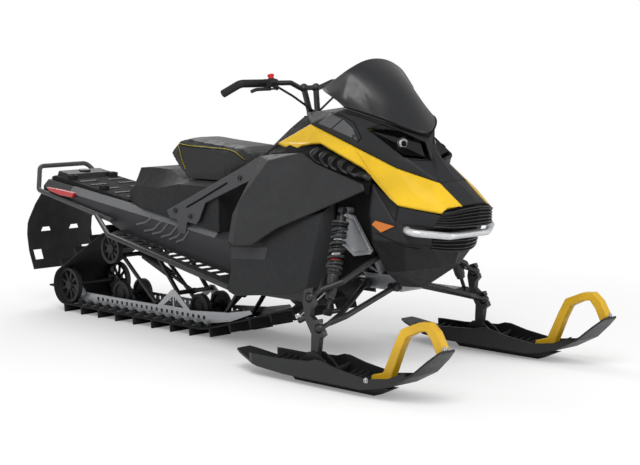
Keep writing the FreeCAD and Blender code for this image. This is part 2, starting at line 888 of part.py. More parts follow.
def make_rear_linkage():
    """The rear arm, the struts that carry the upper wheels' axle, and the shock absorber between."""
    arm_foot_height = rail_top_z + S.rail_bracket_height * 0.8
    arm = linkage_arm(S.rear_arm_top_x, S.rear_arm_top_z, S.rail_bracket_x, arm_foot_height,
                      arm_foot_half, arm_top_half)
    foot_z = rail_top_z + S.strut_radius + S.running_gap
    struts = []
    for side in (-1, 1):
        axle = vector(S.idler_x, S.rail_offset * side, S.idler_z)
        foot = vector(S.strut_foot_x, S.rail_offset * side, foot_z)
        struts += [rod(axle, foot, S.strut_radius), Part.makeSphere(S.strut_radius.mm, foot)]
        start = axle - Vector(0, S.eye_length.mm / 2, 0)
        struts.append(Part.makeCylinder(S.hub_radius.mm, S.eye_length.mm, start, Vector(0, 1, 0)))
    share = 0.14
    top_x = S.idler_x + (S.strut_foot_x - S.idler_x) * share
    top_z = S.idler_z + (foot_z - S.idler_z) * share
    top = vector(top_x, ZERO, top_z)
    carrier = cross_tube(top_x, top_z, S.rail_offset, S.skid_tube_radius)
    foot = vector(S.rail_bracket_x, ZERO, arm_foot_height)
    shock = make_shock(top, foot, S.skid_shock_radius, 0.6, Vector(0, 1, 0))
    bore_half = S.rail_offset.mm * 2
    bore = Part.makeCylinder(S.axle_radius.mm + S.running_gap.mm, 2 * bore_half,
                             Vector(S.idler_x.mm, -bore_half, S.idler_z.mm), Vector(0, 1, 0))
    return carrier.multiFuse(arm + struts + shock).cut(bore).removeSplitter()


skid_linkage = Part.makeCompound([make_front_linkage(), make_rear_linkage()])
node(shaped("skid_arms", skid_linkage), "skid_arms")


# Tunnel: an inverted channel of folded sheet over the track
def tunnel_top(x):
    """Height of the tunnel's top at a place along it: sloping, then level past the knee."""
    share = (x.mm - S.tunnel_rear_x.mm) / (S.tunnel_knee_x.mm - S.tunnel_rear_x.mm)
    return S.tunnel_rear_z + (S.tunnel_knee_z - S.tunnel_rear_z) * min(share, 1)


def tunnel_profile(wall, overrun):
    """The tunnel's side view, its top lowered by the wall and its open sides run out."""
    return [
        (S.tunnel_rear_x - overrun, tunnel_top(S.tunnel_rear_x - overrun) - wall),
        (S.tunnel_knee_x, S.tunnel_knee_z - wall),
        (S.tunnel_front_x + overrun, S.tunnel_knee_z - wall),
        (S.tunnel_front_x + overrun, S.tunnel_front_low_z - overrun),
        (S.side_front_x, S.tunnel_front_low_z - overrun),
        (S.side_front_x, S.side_front_z - overrun),
        (S.side_low_x, S.side_low_z - overrun),
        (S.side_mid_x, S.side_mid_z - overrun),
        (S.tunnel_rear_x - overrun, S.side_rear_low_z - overrun),
    ]


def chamfered_channel(name, wall, overrun):
    """A solid of the tunnel's section with its two upper edges bevelled."""
    width = S.tunnel_width - wall * 2
    body = slab(name, "XZ_Plane", [tunnel_profile(wall, overrun)], width)
    doc.recompute()
    half = width.mm / 2
    edges = []
    for index, edge in enumerate(body.Shape.Edges, start=1):
        middle = edge.CenterOfMass
        along_side = abs(abs(middle.y) - half) < S.running_gap.mm
        on_top = abs(middle.z - (tunnel_top(Size(middle.x, "")) - wall).mm) < S.fuse_sink.mm
        if along_side and on_top:
            edges.append(f"Edge{index}")
    base = body.Tip
    bevel = body.newObject("PartDesign::Chamfer", f"{name}_bevel")
    bevel.Base = (base, edges)
    bind(bevel, Size=S.tunnel_chamfer - wall / 2)
    body.Tip = bevel
    return body


tunnel_outside = chamfered_channel("tunnel_outside", ZERO, ZERO)
tunnel_inside = chamfered_channel("tunnel_inside", S.tunnel_wall, S.cut_overrun)
node(cut("tunnel", tunnel_outside, tunnel_inside), "tunnel")


# Running boards: a slotted sheet between the tunnel's lower edge and an outer tube
def board_height(x):
    """Height of the board's sloping plane at a place along it."""
    slope_share = (x.mm - S.side_low_x.mm) / (S.side_front_x.mm - S.side_low_x.mm)
    return S.side_low_z + (S.side_front_z - S.side_low_z) * slope_share


def make_board():
    inner = S.tunnel_width / 2 + S.running_gap
    tilt = math.degrees(math.atan2((S.side_low_z - S.side_front_z).mm, (S.side_front_x - S.side_low_x).mm))
    slope = math.cos(math.radians(tilt))
    body = new_body("board_sheet")
    start = ZERO
    corner = (S.board_corner_x - S.side_low_x) / slope
    front = (S.board_front_x - S.side_low_x) / slope
    outline = [
        (start, -inner),
        (front, -inner),
        (front, -S.board_front_half_width),
        (corner, -S.board_corner_half_width),
        (start, -S.board_rear_half_width),
    ]
    pad(body, sketch(body, "board_plan", "XY_Plane", [outline]), S.board_thickness)
    slot_x = corner + S.board_slot_margin
    low_y = -S.board_corner_half_width + S.board_slot_margin
    slot = box_outline(slot_x, slot_x + S.board_slot_length, low_y, -inner - S.board_slot_margin)
    hole = pocket(body, sketch(body, "board_slot", "XY_Plane", [slot]), S.cut_overrun)
    repeat(body, hole, "X_Axis", S.board_slot_pitch * (S.board_slot_count.mm - 1), S.board_slot_count)
    body.Placement.Rotation = FreeCAD.Rotation(Vector(0, 1, 0), tilt)
    put(body, (S.side_low_x, ZERO, S.side_low_z))
    return body


bumper_side = S.tunnel_width / 2 + S.bumper_tube_radius + S.running_gap


def make_board_tube():
    rear_x = S.side_mid_x + S.board_slot_length
    rear_side = bumper_side + S.bumper_tube_radius + S.board_tube_radius + S.running_gap
    rear = vector(rear_x, -rear_side, S.side_mid_z)
    corner = vector(S.board_corner_x, -S.board_corner_half_width, board_height(S.board_corner_x))
    front = vector(S.board_front_x, -S.board_front_half_width, board_height(S.board_front_x))
    return tube([rear, corner, front], S.board_tube_radius, S.bumper_bend)


right_board = join("board_right", [make_board(), shaped("board_tube", make_board_tube())])
node(pair("running_boards_pair", right_board), "running_boards")


# Rear bumper: one bent tube from one tunnel side, round the rear, to the other
def make_rear_bumper():
    right = [
        vector(S.bumper_front_x, -bumper_side, S.bumper_front_z),
        vector(S.bumper_corner_x, -bumper_side, S.bumper_corner_z),
        vector(S.bumper_top_x, -S.bumper_top_half_width, S.bumper_top_z),
    ]
    left = [flip(point) for point in reversed(right)]
    return tube(right + left, S.bumper_tube_radius, S.bumper_bend)


node(shaped("rear_bumper", make_rear_bumper()), "rear_bumper")


# Snow flap: a bowed sheet with cut corners, two slots and two windows
def make_flap():
    bow_shares = ((0, 1), (0.62, 0.72), (0.95, 0.5), (1, 0.38), (0.92, 0.2), (0.68, 0))
    top_x = S.tunnel_rear_x - S.running_gap - S.flap_thickness
    span = top_x + S.tail_reach
    height = S.flap_top_z - S.flap_bottom_z
    rear = [(top_x - span * u, S.flap_bottom_z + height * v) for u, v in bow_shares]
    front = [(x + S.flap_thickness, z) for x, z in reversed(rear)]
    body = new_body("flap_sheet")
    pad(body, sketch(body, "flap_side", "XZ_Plane", [rear + front]), S.flap_width, midplane=True)
    half = S.flap_width / 2
    top_half = S.flap_top_width / 2
    middle_z = S.flap_bottom_z + height * 0.55
    over = half + S.cut_overrun
    high = S.flap_top_z + S.cut_overrun
    holes = []
    for side in (-1, 1):
        holes.append([(half * side, middle_z), (over * side, middle_z), (over * side, high),
                      (top_half * side, high), (top_half * side, S.flap_top_z)])
        slot_y = S.flap_slot_offset * side
        reach = S.flap_slot_length / 2
        holes.append([(slot_y - reach, S.flap_slot_z), (slot_y + reach, S.flap_slot_z),
                      (slot_y + reach * 0.7, S.flap_slot_z + S.flap_slot_height),
                      (slot_y - reach * 0.7, S.flap_slot_z + S.flap_slot_height)])
        window = S.flap_window_offset * side
        holes.append(box_outline(window - S.flap_window_size / 2, window + S.flap_window_size / 2,
                                 S.flap_window_z - S.flap_window_size / 2,
                                 S.flap_window_z + S.flap_window_size / 2))
    cuts = sketch(body, "flap_cuts", "YZ_Plane", holes)
    pocket(body, cuts, S.tail_reach * 2 + S.cut_overrun * 2)
    return body


node(make_flap(), "snow_flap")


# Tail lamps: a red wedge on each side of the tunnel's rear, above the bumper tube
tail_lamp_shares = ((0.0, 1.0), (0.06, 0.5), (0.4, 0.0), (0.55, -0.05), (1.0, 0.18))
tail_lamp_outline = share_outline(S.tail_lamp_x, S.tail_lamp_length, S.tail_lamp_z, S.tail_lamp_height,
                                  tail_lamp_shares)
tail_lamp_offset = S.tunnel_width / 2 + S.running_gap + S.lamp_thickness / 2
right_tail_lamp = slab("tail_lamp_block", "XZ_Plane", [tail_lamp_outline], S.lamp_thickness,
                       tail_lamp_offset)
node(pair("tail_lamps_pair", right_tail_lamp), "tail_lamps")


# Cargo deck: a ribbed plate lying on the rear of the tunnel, with four cargo anchors
deck_front_x = S.box_rear_x - S.running_gap
deck_front_z = tunnel_top(deck_front_x) + S.deck_thickness
deck_crest_x = S.deck_rear_x + S.deck_rib_width
deck_crest_z = tunnel_top(deck_crest_x) + S.deck_thickness + S.deck_rib_height
deck_slope = (deck_crest_z.mm - deck_front_z.mm) / (deck_front_x.mm - deck_crest_x.mm)


def make_deck():
    rear = S.deck_rear_x
    outline = [
        (rear, tunnel_top(rear) + S.running_gap),
        (deck_front_x, tunnel_top(deck_front_x) + S.running_gap),
        (deck_front_x, deck_front_z),
        (deck_crest_x, deck_crest_z),
        (rear, tunnel_top(rear) + S.deck_thickness),
    ]
    return slab("deck_plate", "XZ_Plane", [outline], S.deck_width)


def make_anchor(x, y):
    """A round stud with a slot across its top, standing square to the sloping deck."""
    base_z = deck_crest_z - (x - deck_crest_x) * deck_slope
    base = vector(x, y, base_z)
    foot = vector(x, y, base_z - S.deck_thickness / 2)
    ring = Part.makeCylinder(S.anchor_radius.mm, S.anchor_height.mm + S.deck_thickness.mm / 2, foot)
    slot_z = base_z + S.anchor_height
    groove = box_between(
        vector(x - S.anchor_radius, y - S.anchor_slot_width / 2, slot_z - S.anchor_slot_depth),
        vector(x + S.anchor_radius, y + S.anchor_slot_width / 2, slot_z + S.anchor_slot_depth))
    anchor = ring.cut(groove)
    anchor.rotate(base, Vector(0, 1, 0), math.degrees(math.atan(deck_slope)))
    return anchor


deck_anchors = [make_anchor(x, S.anchor_half * side)
                for x in (S.anchor_rear_x, S.anchor_front_x) for side in (-1, 1)]
deck = join("deck", [make_deck(), shaped("anchors", Part.makeCompound(deck_anchors))])
node(deck, "cargo_deck")


# Seat: the padded saddle, and the storage box that carries it
def make_seat():
    """The saddle's side view, with its top drawn in and its front narrowed."""
    seat_shares = ((0.0, 0.62), (0.08, 0.94), (0.18, 1.0), (0.80, 0.84), (0.93, 0.68),
                   (1.0, 0.46), (0.93, 0.3), (0.63, 0.0), (0.24, 0.0))
    outline = share_outline(S.seat_rear_x, S.seat_length, S.seat_low_z, S.seat_thickness, seat_shares)
    body = slab("seat_block", "XZ_Plane", [outline], S.seat_width)
    half = S.seat_width / 2
    top = S.seat_low_z + S.seat_thickness + S.running_gap
    shoulders = []
    corners = []
    for side in (-1, 1):
        outer = (half + S.seat_shoulder) * side
        shoulders.append([(half * side, top - S.seat_shoulder * 2), (outer, top - S.seat_shoulder * 2),
                          (outer, top), (S.seat_top_width / 2 * side, top)])
        front = S.seat_rear_x + S.seat_length
        taper_x = front - S.seat_length / 3
        beyond = front + S.cut_overrun
        corners.append([(taper_x, half * side), (taper_x, outer),
                        (beyond, outer), (beyond, S.seat_front_width / 2 * side)])
    pocket(body, sketch(body, "seat_shoulders", "YZ_Plane", shoulders), S.seat_length * 2)
    pocket(body, sketch(body, "seat_corners", "XY_Plane", corners), top * 2 + S.cut_overrun)
    return body


node(make_seat(), "seat")

# Cross sections of the storage box: share of length, shoulder and top heights over the tunnel as
# shares of the rear height, and half widths at the foot and the top as shares of the whole width
box_section_shares = (
    (0.0, 0.30, 0.36, 0.38, 0.30),
    (0.11, 0.52, 0.98, 0.45, 0.35),
    (0.22, 0.58, 1.06, 0.49, 0.34),
    (0.40, 0.66, 1.12, 0.50, 0.31),
)


def make_storage_box():
    """A tapered box along the tunnel's top, high behind the seat and low under it."""
    seat_level = S.seat_low_z - S.running_gap
    sections = []
    for along, shoulder, top, foot_half, top_half in box_section_shares:
        x = S.box_rear_x + S.box_length * along
        base = tunnel_top(x) + S.running_gap
        sections.append((x, base, base + S.box_rear_height * shoulder, base + S.box_rear_height * top,
                         S.box_width * foot_half, S.box_width * top_half))
    for along in (0.6, 1.0):
        x = S.box_rear_x + S.box_length * along
        sections.append((x, tunnel_top(x) + S.running_gap, seat_level - S.seat_shoulder / 3, seat_level,
                         S.box_width * 0.5, S.box_width * 0.4))
    wires = []
    for x, base, shoulder, top, foot_half, top_half in sections:
        right = [(-foot_half, base), (-foot_half, shoulder), (-top_half, top)]
        left = [(-y, z) for y, z in reversed(right)]
        points = [vector(x, y, z) for y, z in right + left]
        wires.append(Part.makePolygon(points + [points[0]]))
    return Part.makeLoft(wires, True, True)


node(shaped("storage_box", make_storage_box()), "storage_box")


# Frame braces: flat beams from the tunnel's edge up to the cowl on each side of the seat
def make_brace():
    depth = S.brace_depth
    foot_x = S.brace_foot_x
    foot_z = S.brace_foot_z
    head_x = S.brace_head_x
    head_z = S.brace_head_z
    outline = [
        (foot_x - depth * 2, foot_z + depth * 0.55),
        (foot_x - depth * 1.6, foot_z - depth * 0.1),
        (foot_x - depth * 0.6, foot_z - depth * 0.2),
        (foot_x - depth * 0.4, foot_z - depth * 1.4),
        (foot_x + depth * 0.6, foot_z - depth * 1.4),
        (foot_x + depth * 0.8, foot_z - depth * 0.32),
        (foot_x + depth * 2.1, foot_z - depth * 0.45),
        (foot_x + depth * 2.5, foot_z - depth * 0.1),
        (foot_x + depth * 3.4, foot_z + depth * 1.5),
        (head_x - depth * 1.4, head_z - depth * 2.2),
        (head_x, head_z - depth * 1.2),
        (head_x, head_z),
        (head_x - depth * 2.5, head_z - depth * 1.15),
    ]
    offset = S.tunnel_width / 2 + S.running_gap + S.brace_thickness / 2
    return slab("brace", "XZ_Plane", [outline], S.brace_thickness, offset)


node(pair("braces_pair", make_brace()), "frame_braces")

# Upper side panels: a flat outer face folded back towards the seat
side_panel_shares = {
    "A": (0.175, 0.75, 0.866),
    "B": (0.243, 0.775, 0.876),
    "C": (0.275, 0.873, 0.854),
    "D": (0.428, 0.78, 0.890),
    "E": (0.511, 0.763, 0.846),
    "F": (0.744, 0.675, 0.773),
    "G": (0.755, 0.68, 0.747),
    "H": (0.356, 0.96, 0.577),
    "I": (0.235, 1.053, 0.500),
    "J": (0.144, 1.103, 0.497),
    "K": (0.063, 1.0, 0.505),
    "L": (0.059, 0.925, 0.614),
    "M": (0.123, 0.825, 0.754),
    "N": (0.150, 1.013, 0.684),
}
side_panel_faces = [
    ["N", "C", "D", "E", "F", "G", "H", "I", "J"],
    ["A", "B", "C"],
    ["B", "D", "C"],
    ["A", "C", "N", "M"],
    ["M", "N", "L"],
    ["L", "N", "J", "K"],
]
inward_y = Vector(0, S.panel_wall.mm, 0)
right_side_panel = panel(cowl_corners(side_panel_shares), side_panel_faces, inward_y)
right_side_panel = shaped("side_panel_right", right_side_panel)
node(right_side_panel, "side_panel_right")
node(mirrored(right_side_panel, "side_panel_left"), "side_panel_left")

# Lower side panels, tucked under the upper ones
lower_panel_shares = {
    "a": (0.040, 0.9585, 0.5205),
    "b": (0.235, 0.945, 0.530),
    "c": (0.062, 0.955, 0.386),
    "d": (0.035, 0.955, 0.283),
    "e": (0.084, 0.955, 0.268),
    "f": (0.420, 0.925, 0.305),
    "g": (0.516, 0.925, 0.335),
    "n": (0.340, 0.875, 0.590),
    "h": (0.556, 0.775, 0.655),
    "i": (0.585, 0.675, 0.690),
    "k": (0.570, 0.675, 0.350),
}
lower_panel_faces = [
    ["c", "a", "b", "e", "d"],
    ["b", "n", "f", "e"],
    ["n", "h", "g", "f"],
    ["h", "i", "k", "g"],
]
right_lower = shaped("lower_panel_right_shape",
                     panel(cowl_corners(lower_panel_shares), lower_panel_faces, inward_y))
node(pair("lower_panels_pair", right_lower), "lower_panels")

# Hood: deck behind the screen, flanks, and the beak between the accent panels
hood_shares = {
    "deck_rear": (0.23, 0.0, 1.050),
    "deck_rear_side": (0.23, 0.225, 1.045),
    "deck_mid": (0.52, 0.0, 1.085),
    "screen_rear": (0.56, 0.45, 1.068),
    "screen_side": (0.75, 0.36, 1.018),
    "screen_front": (0.856, 0.0, 0.953),
    "flank_rear": (0.350, 0.438, 1.002),
    "flank_mid": (0.62, 0.483, 0.920),
    "flank_front": (0.833, 0.398, 0.836),
    "lamp_rear": (0.675, 0.42, 0.992),
    "lamp_top": (0.80, 0.26, 0.985),
    "lamp_inner": (0.87, 0.06, 0.935),
    "lamp_low": (0.86, 0.36, 0.880),
    "lamp_low_inner": (0.905, 0.08, 0.865),
    "ridge_top": (0.885, 0.0, 0.915),
    "beak_side": (0.994, 0.198, 0.779),
    "beak_tip": (1.01, 0.0, 0.782),
}
hood_faces = [
    ["deck_rear", "deck_rear_side", "screen_rear", "deck_mid"],
    ["deck_mid", "screen_rear", "screen_side", "screen_front"],
    ["flank_rear", "flank_mid", "screen_rear", "deck_rear_side"],
    ["screen_rear", "flank_mid", "lamp_rear"],
    ["screen_rear", "lamp_rear", "screen_side"],
    ["screen_side", "lamp_rear", "lamp_top"],
    ["screen_side", "lamp_top", "screen_front"],
    ["screen_front", "lamp_top", "lamp_inner", "ridge_top"],
    ["flank_mid", "flank_front", "lamp_low", "lamp_rear"],
    ["lamp_low", "flank_front", "beak_side", "lamp_low_inner"],
    ["lamp_inner", "lamp_low_inner", "ridge_top"],
    ["ridge_top", "lamp_low_inner", "beak_side", "beak_tip"],
]
hood_inward = toward(cowl(0.5, 0.0, 0.75), 0.025)
hood_corners, hood_all = both_hands(cowl_corners(hood_shares), hood_faces)
node(shaped("hood", panel(hood_corners, hood_all, hood_inward)), "hood")

# Console in front of the rider, with room for the steering post
console_shares = {
    "rear": (0.0, 0.0, 0.888),
    "rear_side": (0.03, 0.35, 0.872),
    "rear_edge": (0.12, 0.62, 0.862),
    "top": (0.13, 0.0, 0.990),
    "top_side": (0.14, 0.22, 0.982),
    "front_side": (0.222, 0.235, 1.030),
    "edge_mid": (0.17, 0.44, 0.93),
    "edge_front": (0.325, 0.4445, 0.985),
}
console_faces = [
    ["rear", "rear_side", "top_side", "top"],
    ["rear_side", "rear_edge", "edge_mid", "top_side"],
    ["top_side", "edge_mid", "edge_front", "front_side"],
]
console_corners, console_all = both_hands(cowl_corners(console_shares), console_faces)
console_inward = Vector(S.panel_wall.mm / 2, 0, -S.panel_wall.mm)
node(shaped("console", panel(console_corners, console_all, console_inward)), "console")

# Accent panels: the bright bands along both sides of the hood
accent_shares = {
    "rear_low": (0.175, 0.50, 0.920),
    "rear_top": (0.350, 0.44, 1.002),
    "top_mid": (0.62, 0.485, 0.920),
    "top_front": (0.833, 0.40, 0.836),
    "inner_upper": (0.994, 0.20, 0.779),
    "inner_low": (1.105, 0.183, 0.695),
    "outer_low": (1.067, 0.368, 0.673),
    "lower_mid": (0.885, 0.525, 0.697),
    "shoulder": (0.724, 0.55, 0.833),
    "shoulder_rear": (0.461, 0.55, 0.931),
    "notch_front": (0.40, 0.54, 0.927),
    "notch": (0.345, 0.55, 0.918),
    "rear_tip": (0.302, 0.575, 0.891),
    "crease_rear": (0.755, 0.52, 0.800),
    "crease_mid": (0.925, 0.425, 0.746),
    "crease_front": (0.998, 0.335, 0.744),
    "crease_low": (1.071, 0.30, 0.690),
}
accent_faces = [
    ["rear_low", "rear_top", "notch_front", "notch", "rear_tip"],
    ["rear_top", "top_mid", "shoulder_rear", "notch_front"],
    ["top_mid", "top_front", "crease_rear", "shoulder", "shoulder_rear"],
    ["top_front", "crease_mid", "crease_rear"],
    ["top_front", "inner_upper", "crease_front", "crease_mid"],
    ["inner_upper", "inner_low", "crease_low", "crease_front"],
    ["crease_rear", "crease_mid", "lower_mid", "shoulder"],
    ["crease_mid", "crease_front", "outer_low", "lower_mid"],
    ["crease_front", "crease_low", "outer_low"],
]
accent_inward = Vector(-S.panel_wall.mm / 2, 0, -S.panel_wall.mm * 0.7)
right_accent = shaped("accent_right_shape", panel(cowl_corners(accent_shares), accent_faces, accent_inward))
node(pair("accent_panels_pair", right_accent), "accent_panels")

# Headlamps: lenses set in the hood's two openings
lamp_shares = {
    "rear": (0.686, 0.411, 0.983),
    "top": (0.794, 0.25, 0.974),
    "inner": (0.850, 0.09, 0.930),
    "low_inner": (0.880, 0.11, 0.876),
    "low": (0.846, 0.335, 0.890),
}
lamp_faces = [["rear", "top", "inner", "low_inner", "low"]]
lamp_inward = toward(cowl(0.5, 0.0, 0.75), 0.13)
right_lamp = shaped("lamp_right_shape", panel(cowl_corners(lamp_shares), lamp_faces, lamp_inward))
node(pair("headlamps_pair", right_lamp), "headlamps")

# Nose: the fascia below the accent panels, down to the belly pan
nose_shares = {
    "rear_top": (0.75, 0.53, 0.775),
    "rear_line": (0.772, 0.625, 0.648),
    "rear_low": (0.785, 0.625, 0.548),
    "facet_top": (0.898, 0.53, 0.687),
    "facet_line": (0.90, 0.55, 0.622),
    "front_top": (1.06, 0.36, 0.660),
    "front_line": (1.065, 0.36, 0.615),
    "brow_side": (1.098, 0.19, 0.682),
    "brow": (1.125, 0.0, 0.690),
    "lip": (1.10, 0.0, 0.612),
    "lip_side": (1.085, 0.27, 0.612),
    "step_mid": (0.995, 0.42, 0.604),
    "step_side": (1.02, 0.27, 0.602),
    "step": (1.04, 0.0, 0.602),
    "side_low": (0.93, 0.55, 0.545),
    "front_low": (1.0, 0.345, 0.535),
    "chin": (1.032, 0.0, 0.532),
}
nose_faces = [
    ["rear_top", "facet_top", "facet_line", "rear_line"],
    ["facet_top", "front_top", "front_line", "facet_line"],
    ["front_top", "brow_side", "lip_side", "front_line"],
    ["brow_side", "brow", "lip", "lip_side"],
    ["rear_line", "facet_line", "side_low", "rear_low"],
    ["facet_line", "front_line", "step_mid"],
    ["facet_line", "step_mid", "side_low"],
    ["front_line", "lip_side", "step_side", "step_mid"],
    ["lip_side", "lip", "step", "step_side"],
    ["step_mid", "step_side", "front_low", "side_low"],
    ["step_side", "step", "chin", "front_low"],
]
nose_inward = Vector(-S.panel_wall.mm, 0, 0)
nose_corners, nose_all = both_hands(cowl_corners(nose_shares), nose_faces)
node(shaped("nose_cone", panel(nose_corners, nose_all, nose_inward)), "nose_cone")

# Marker lamps: a small orange lens on each flank of the nose
marker_shares = {
    "rear": (0.785, 0.641, 0.614),
    "top": (0.800, 0.631, 0.630),
    "front": (0.885, 0.583, 0.612),
    "low": (0.828, 0.6235, 0.585),
}
marker_inward = Vector(0, S.lamp_thickness.mm * 1.03, 0)
right_marker = shaped("marker_right_shape",
                      panel(cowl_corners(marker_shares), [["rear", "top", "front", "low"]], marker_inward))
node(pair("marker_lamps_pair", right_marker), "marker_lamps")

# Belly pan under the nose
belly_shares = {
    "rear_top": (0.785, 0.625, 0.5477),
    "side_top": (0.93, 0.55, 0.5447),
    "front_top": (1.0, 0.345, 0.5347),
    "chin": (1.032, 0.0, 0.5317),
    "rear_low": (0.792, 0.43, 0.414),
    "side_low": (0.86, 0.35, 0.420),
    "front_low": (0.975, 0.14, 0.440),
    "keel": (1.0, 0.0, 0.455),
    "skid_rear": (0.792, 0.2, 0.345),
    "skid_front": (0.83, 0.0, 0.335),
}
belly_faces = [
    ["rear_top", "side_top", "side_low", "rear_low"],
    ["side_top", "front_top", "front_low", "side_low"],
    ["front_top", "chin", "keel", "front_low"],
    ["rear_low", "side_low", "skid_front", "skid_rear"],
    ["side_low", "front_low", "skid_front"],
    ["front_low", "keel", "skid_front"],
]
belly_corners, belly_all = both_hands(cowl_corners(belly_shares), belly_faces)
node(shaped("belly_pan", panel(belly_corners, belly_all, nose_inward)), "belly_pan")

# Grilles: the louvred insets above and below the front bumper
upper_grille_shares = {
    "top": (1.092, 0.29, 0.660), "inner": (1.140, 0.0, 0.682),
    "low_inner": (1.128, 0.0, 0.622), "low": (1.085, 0.30, 0.620),
}
lower_grille_shares = {
    "top": (1.0242, 0.25, 0.585), "inner": (1.0428, 0.0, 0.585),
    "low_inner": (1.0376, 0.0, 0.54), "low": (1.0161, 0.25, 0.54),
}
grille_faces = [["top", "inner", "low_inner", "low"]]
louvre_shares = ((0.1, 0.26), (0.42, 0.58), (0.74, 0.9))


def make_grille(shares):
    """A flat inset with three louvres standing on it."""
    corners = cowl_corners(shares)
    pieces = []
    for high, low in louvre_shares:
        blade = {}
        for name, upper, lower in (("top", "top", "low"), ("inner", "inner", "low_inner")):
            drop = corners[lower] - corners[upper]
            proud = Vector(S.grille_depth.mm / 3, 0, 0)
            blade[name] = corners[upper] + drop * high + proud
            blade[f"low_{name}"] = corners[upper] + drop * low + proud
        edges, faces = both_hands(blade, [["top", "inner", "low_inner", "low_top"]])
        pieces.append(panel(edges, faces, Vector(-S.grille_depth.mm / 2, 0, 0)))
    corners, faces = both_hands(corners, grille_faces)
    return panel(corners, faces, Vector(-S.grille_depth.mm / 3, 0, 0)).multiFuse(pieces)


both_grilles = Part.makeCompound([make_grille(upper_grille_shares), make_grille(lower_grille_shares)])
node(shaped("grilles", both_grilles), "grilles")


# Intake ribs: fins between each accent panel and side panel, on a plate behind them
rib_shares = (
    ((0.456, 0.5125, 0.9415), (0.433, 0.655, 0.888), (0.477, 0.7125, 0.850)),
    ((0.506, 0.5125, 0.9260), (0.489, 0.655, 0.883), (0.516, 0.7125, 0.840)),
    ((0.552, 0.5125, 0.9120), (0.542, 0.655, 0.865), (0.559, 0.70, 0.828)),
    ((0.600, 0.5125, 0.8985), (0.597, 0.655, 0.849), (0.617, 0.68, 0.815)),
    ((0.654, 0.5125, 0.8755), (0.651, 0.655, 0.829), (0.668, 0.66, 0.802)),
    ((0.705, 0.5125, 0.8513), (0.705, 0.655, 0.811), (0.722, 0.64, 0.796)),
)


def make_ribs():
    half = Vector(S.rib_width.mm / 2, 0, 0)
    inward = Vector(0, S.rib_depth.mm * 0.9, -S.rib_depth.mm * 0.4)
    ribs = []
    for shares in rib_shares:
        ridge = {name: cowl(*share) for name, share in zip(("t", "b", "e"), shares)}
        corners = {f"{name}1": point - half for name, point in ridge.items()}
        corners.update({f"{name}2": point + half for name, point in ridge.items()})
        ribs.append(panel(corners, [["t1", "t2", "b2", "b1"], ["b1", "b2", "e2", "e1"]], inward))
    plate = {}
    for hand, shares, side in (("1", rib_shares[0], -1), ("2", rib_shares[-1], 1)):
        for name, share in zip(("t", "b", "e"), shares):
            plate[f"{name}{hand}"] = cowl(*share) + half * side + inward * 0.9
    thickness = inward * (S.rib_back.mm / S.rib_depth.mm)
    back = panel(plate, [["t1", "t2", "b2", "b1"], ["b1", "b2", "e2", "e1"]], thickness)
    return back.multiFuse(ribs)


accent_below = right_accent.Shape.translated(Vector(0, S.running_gap.mm, -S.running_gap.mm))
right_ribs = make_ribs().cut(accent_below).cut(right_accent.Shape).removeSplitter()
right_ribs = shaped("intake_ribs_right", right_ribs)
node(pair("intake_ribs_pair", right_ribs), "intake_ribs")


# Front bumper: a bent bar round the nose
def make_nose_bar():
    front = vector(S.nose_bar_front_x, -S.nose_bar_front_half, S.nose_bar_z)
    side = vector(S.nose_bar_side_x, -S.nose_bar_side_half, S.nose_bar_side_z)
    end = vector(S.nose_bar_end_x, -S.nose_bar_end_half, S.nose_bar_end_z)
    right = [end, side, front]
    bar = tube(right + [flip(point) for point in reversed(right)], S.nose_bar_radius, S.nose_bar_bend)
    flank = [cowl(*nose_shares[name]) for name in ("facet_line", "step_mid", "side_low")]
    outward = Vector(0, -S.running_gap.mm, 0)
    seat = facet([point + outward for point in flank]).extrude(Vector(0, S.nose_bar_front_half.mm, 0))
    far_flank = [flip(point + outward) for point in flank]
    far_seat = facet(far_flank).extrude(Vector(0, -S.nose_bar_front_half.mm, 0))
    return bar.cut(seat).cut(far_seat)


node(shaped("front_bumper", make_nose_bar()), "front_bumper")

# Windscreen: a faceted wrap-round sheet above the hood
screen_shares = {
    "arch": (0.566, 0.0, 1.274),
    "arch_b": (0.565, 0.2, 1.262),
    "arch_c": (0.56, 0.4, 1.240),
    "arch_d": (0.545, 0.525, 1.210),
    "arch_e": (0.53, 0.625, 1.180),
    "tip": (0.52, 0.6875, 1.150),
    "wing_low": (0.575, 0.56, 1.100),
    "brow": (0.66, 0.0, 1.212),
    "brow_b": (0.63, 0.25, 1.209),
    "apex": (0.60, 0.43, 1.205),
    "facet_rear": (0.595, 0.58, 1.122),
    "facet_front": (0.735, 0.41, 1.064),
    "front": (0.82, 0.0, 1.065),
    "front_b": (0.79, 0.22, 1.065),
    "base": (0.858, 0.0, 0.9588),
    "base_b": (0.815, 0.22, 0.9888),
    "base_c": (0.765, 0.37, 1.026),
    "base_rear": (0.575, 0.5, 1.080),
}
screen_faces = [
    ["arch", "brow", "brow_b", "arch_b"],
    ["arch_b", "brow_b", "apex", "arch_c"],
    ["arch_c", "apex", "arch_d"],
    ["arch_d", "apex", "facet_rear", "arch_e"],
    ["arch_e", "facet_rear", "wing_low", "tip"],
    ["brow", "front", "front_b", "brow_b"],
    ["brow_b", "front_b", "facet_front", "apex"],
    ["apex", "facet_front", "facet_rear"],
    ["front", "base", "base_b", "front_b"],
    ["front_b", "base_b", "base_c", "facet_front"],
    ["facet_front", "base_c", "base_rear", "facet_rear"],
    ["facet_rear", "base_rear", "wing_low"],
]
screen_corners, screen_all = both_hands(cowl_corners(screen_shares), screen_faces)
screen_inward = toward(cowl(0.45, 0.0, 0.93), 0.028)
node(shaped("windscreen", panel(screen_corners, screen_all, screen_inward)), "windscreen")

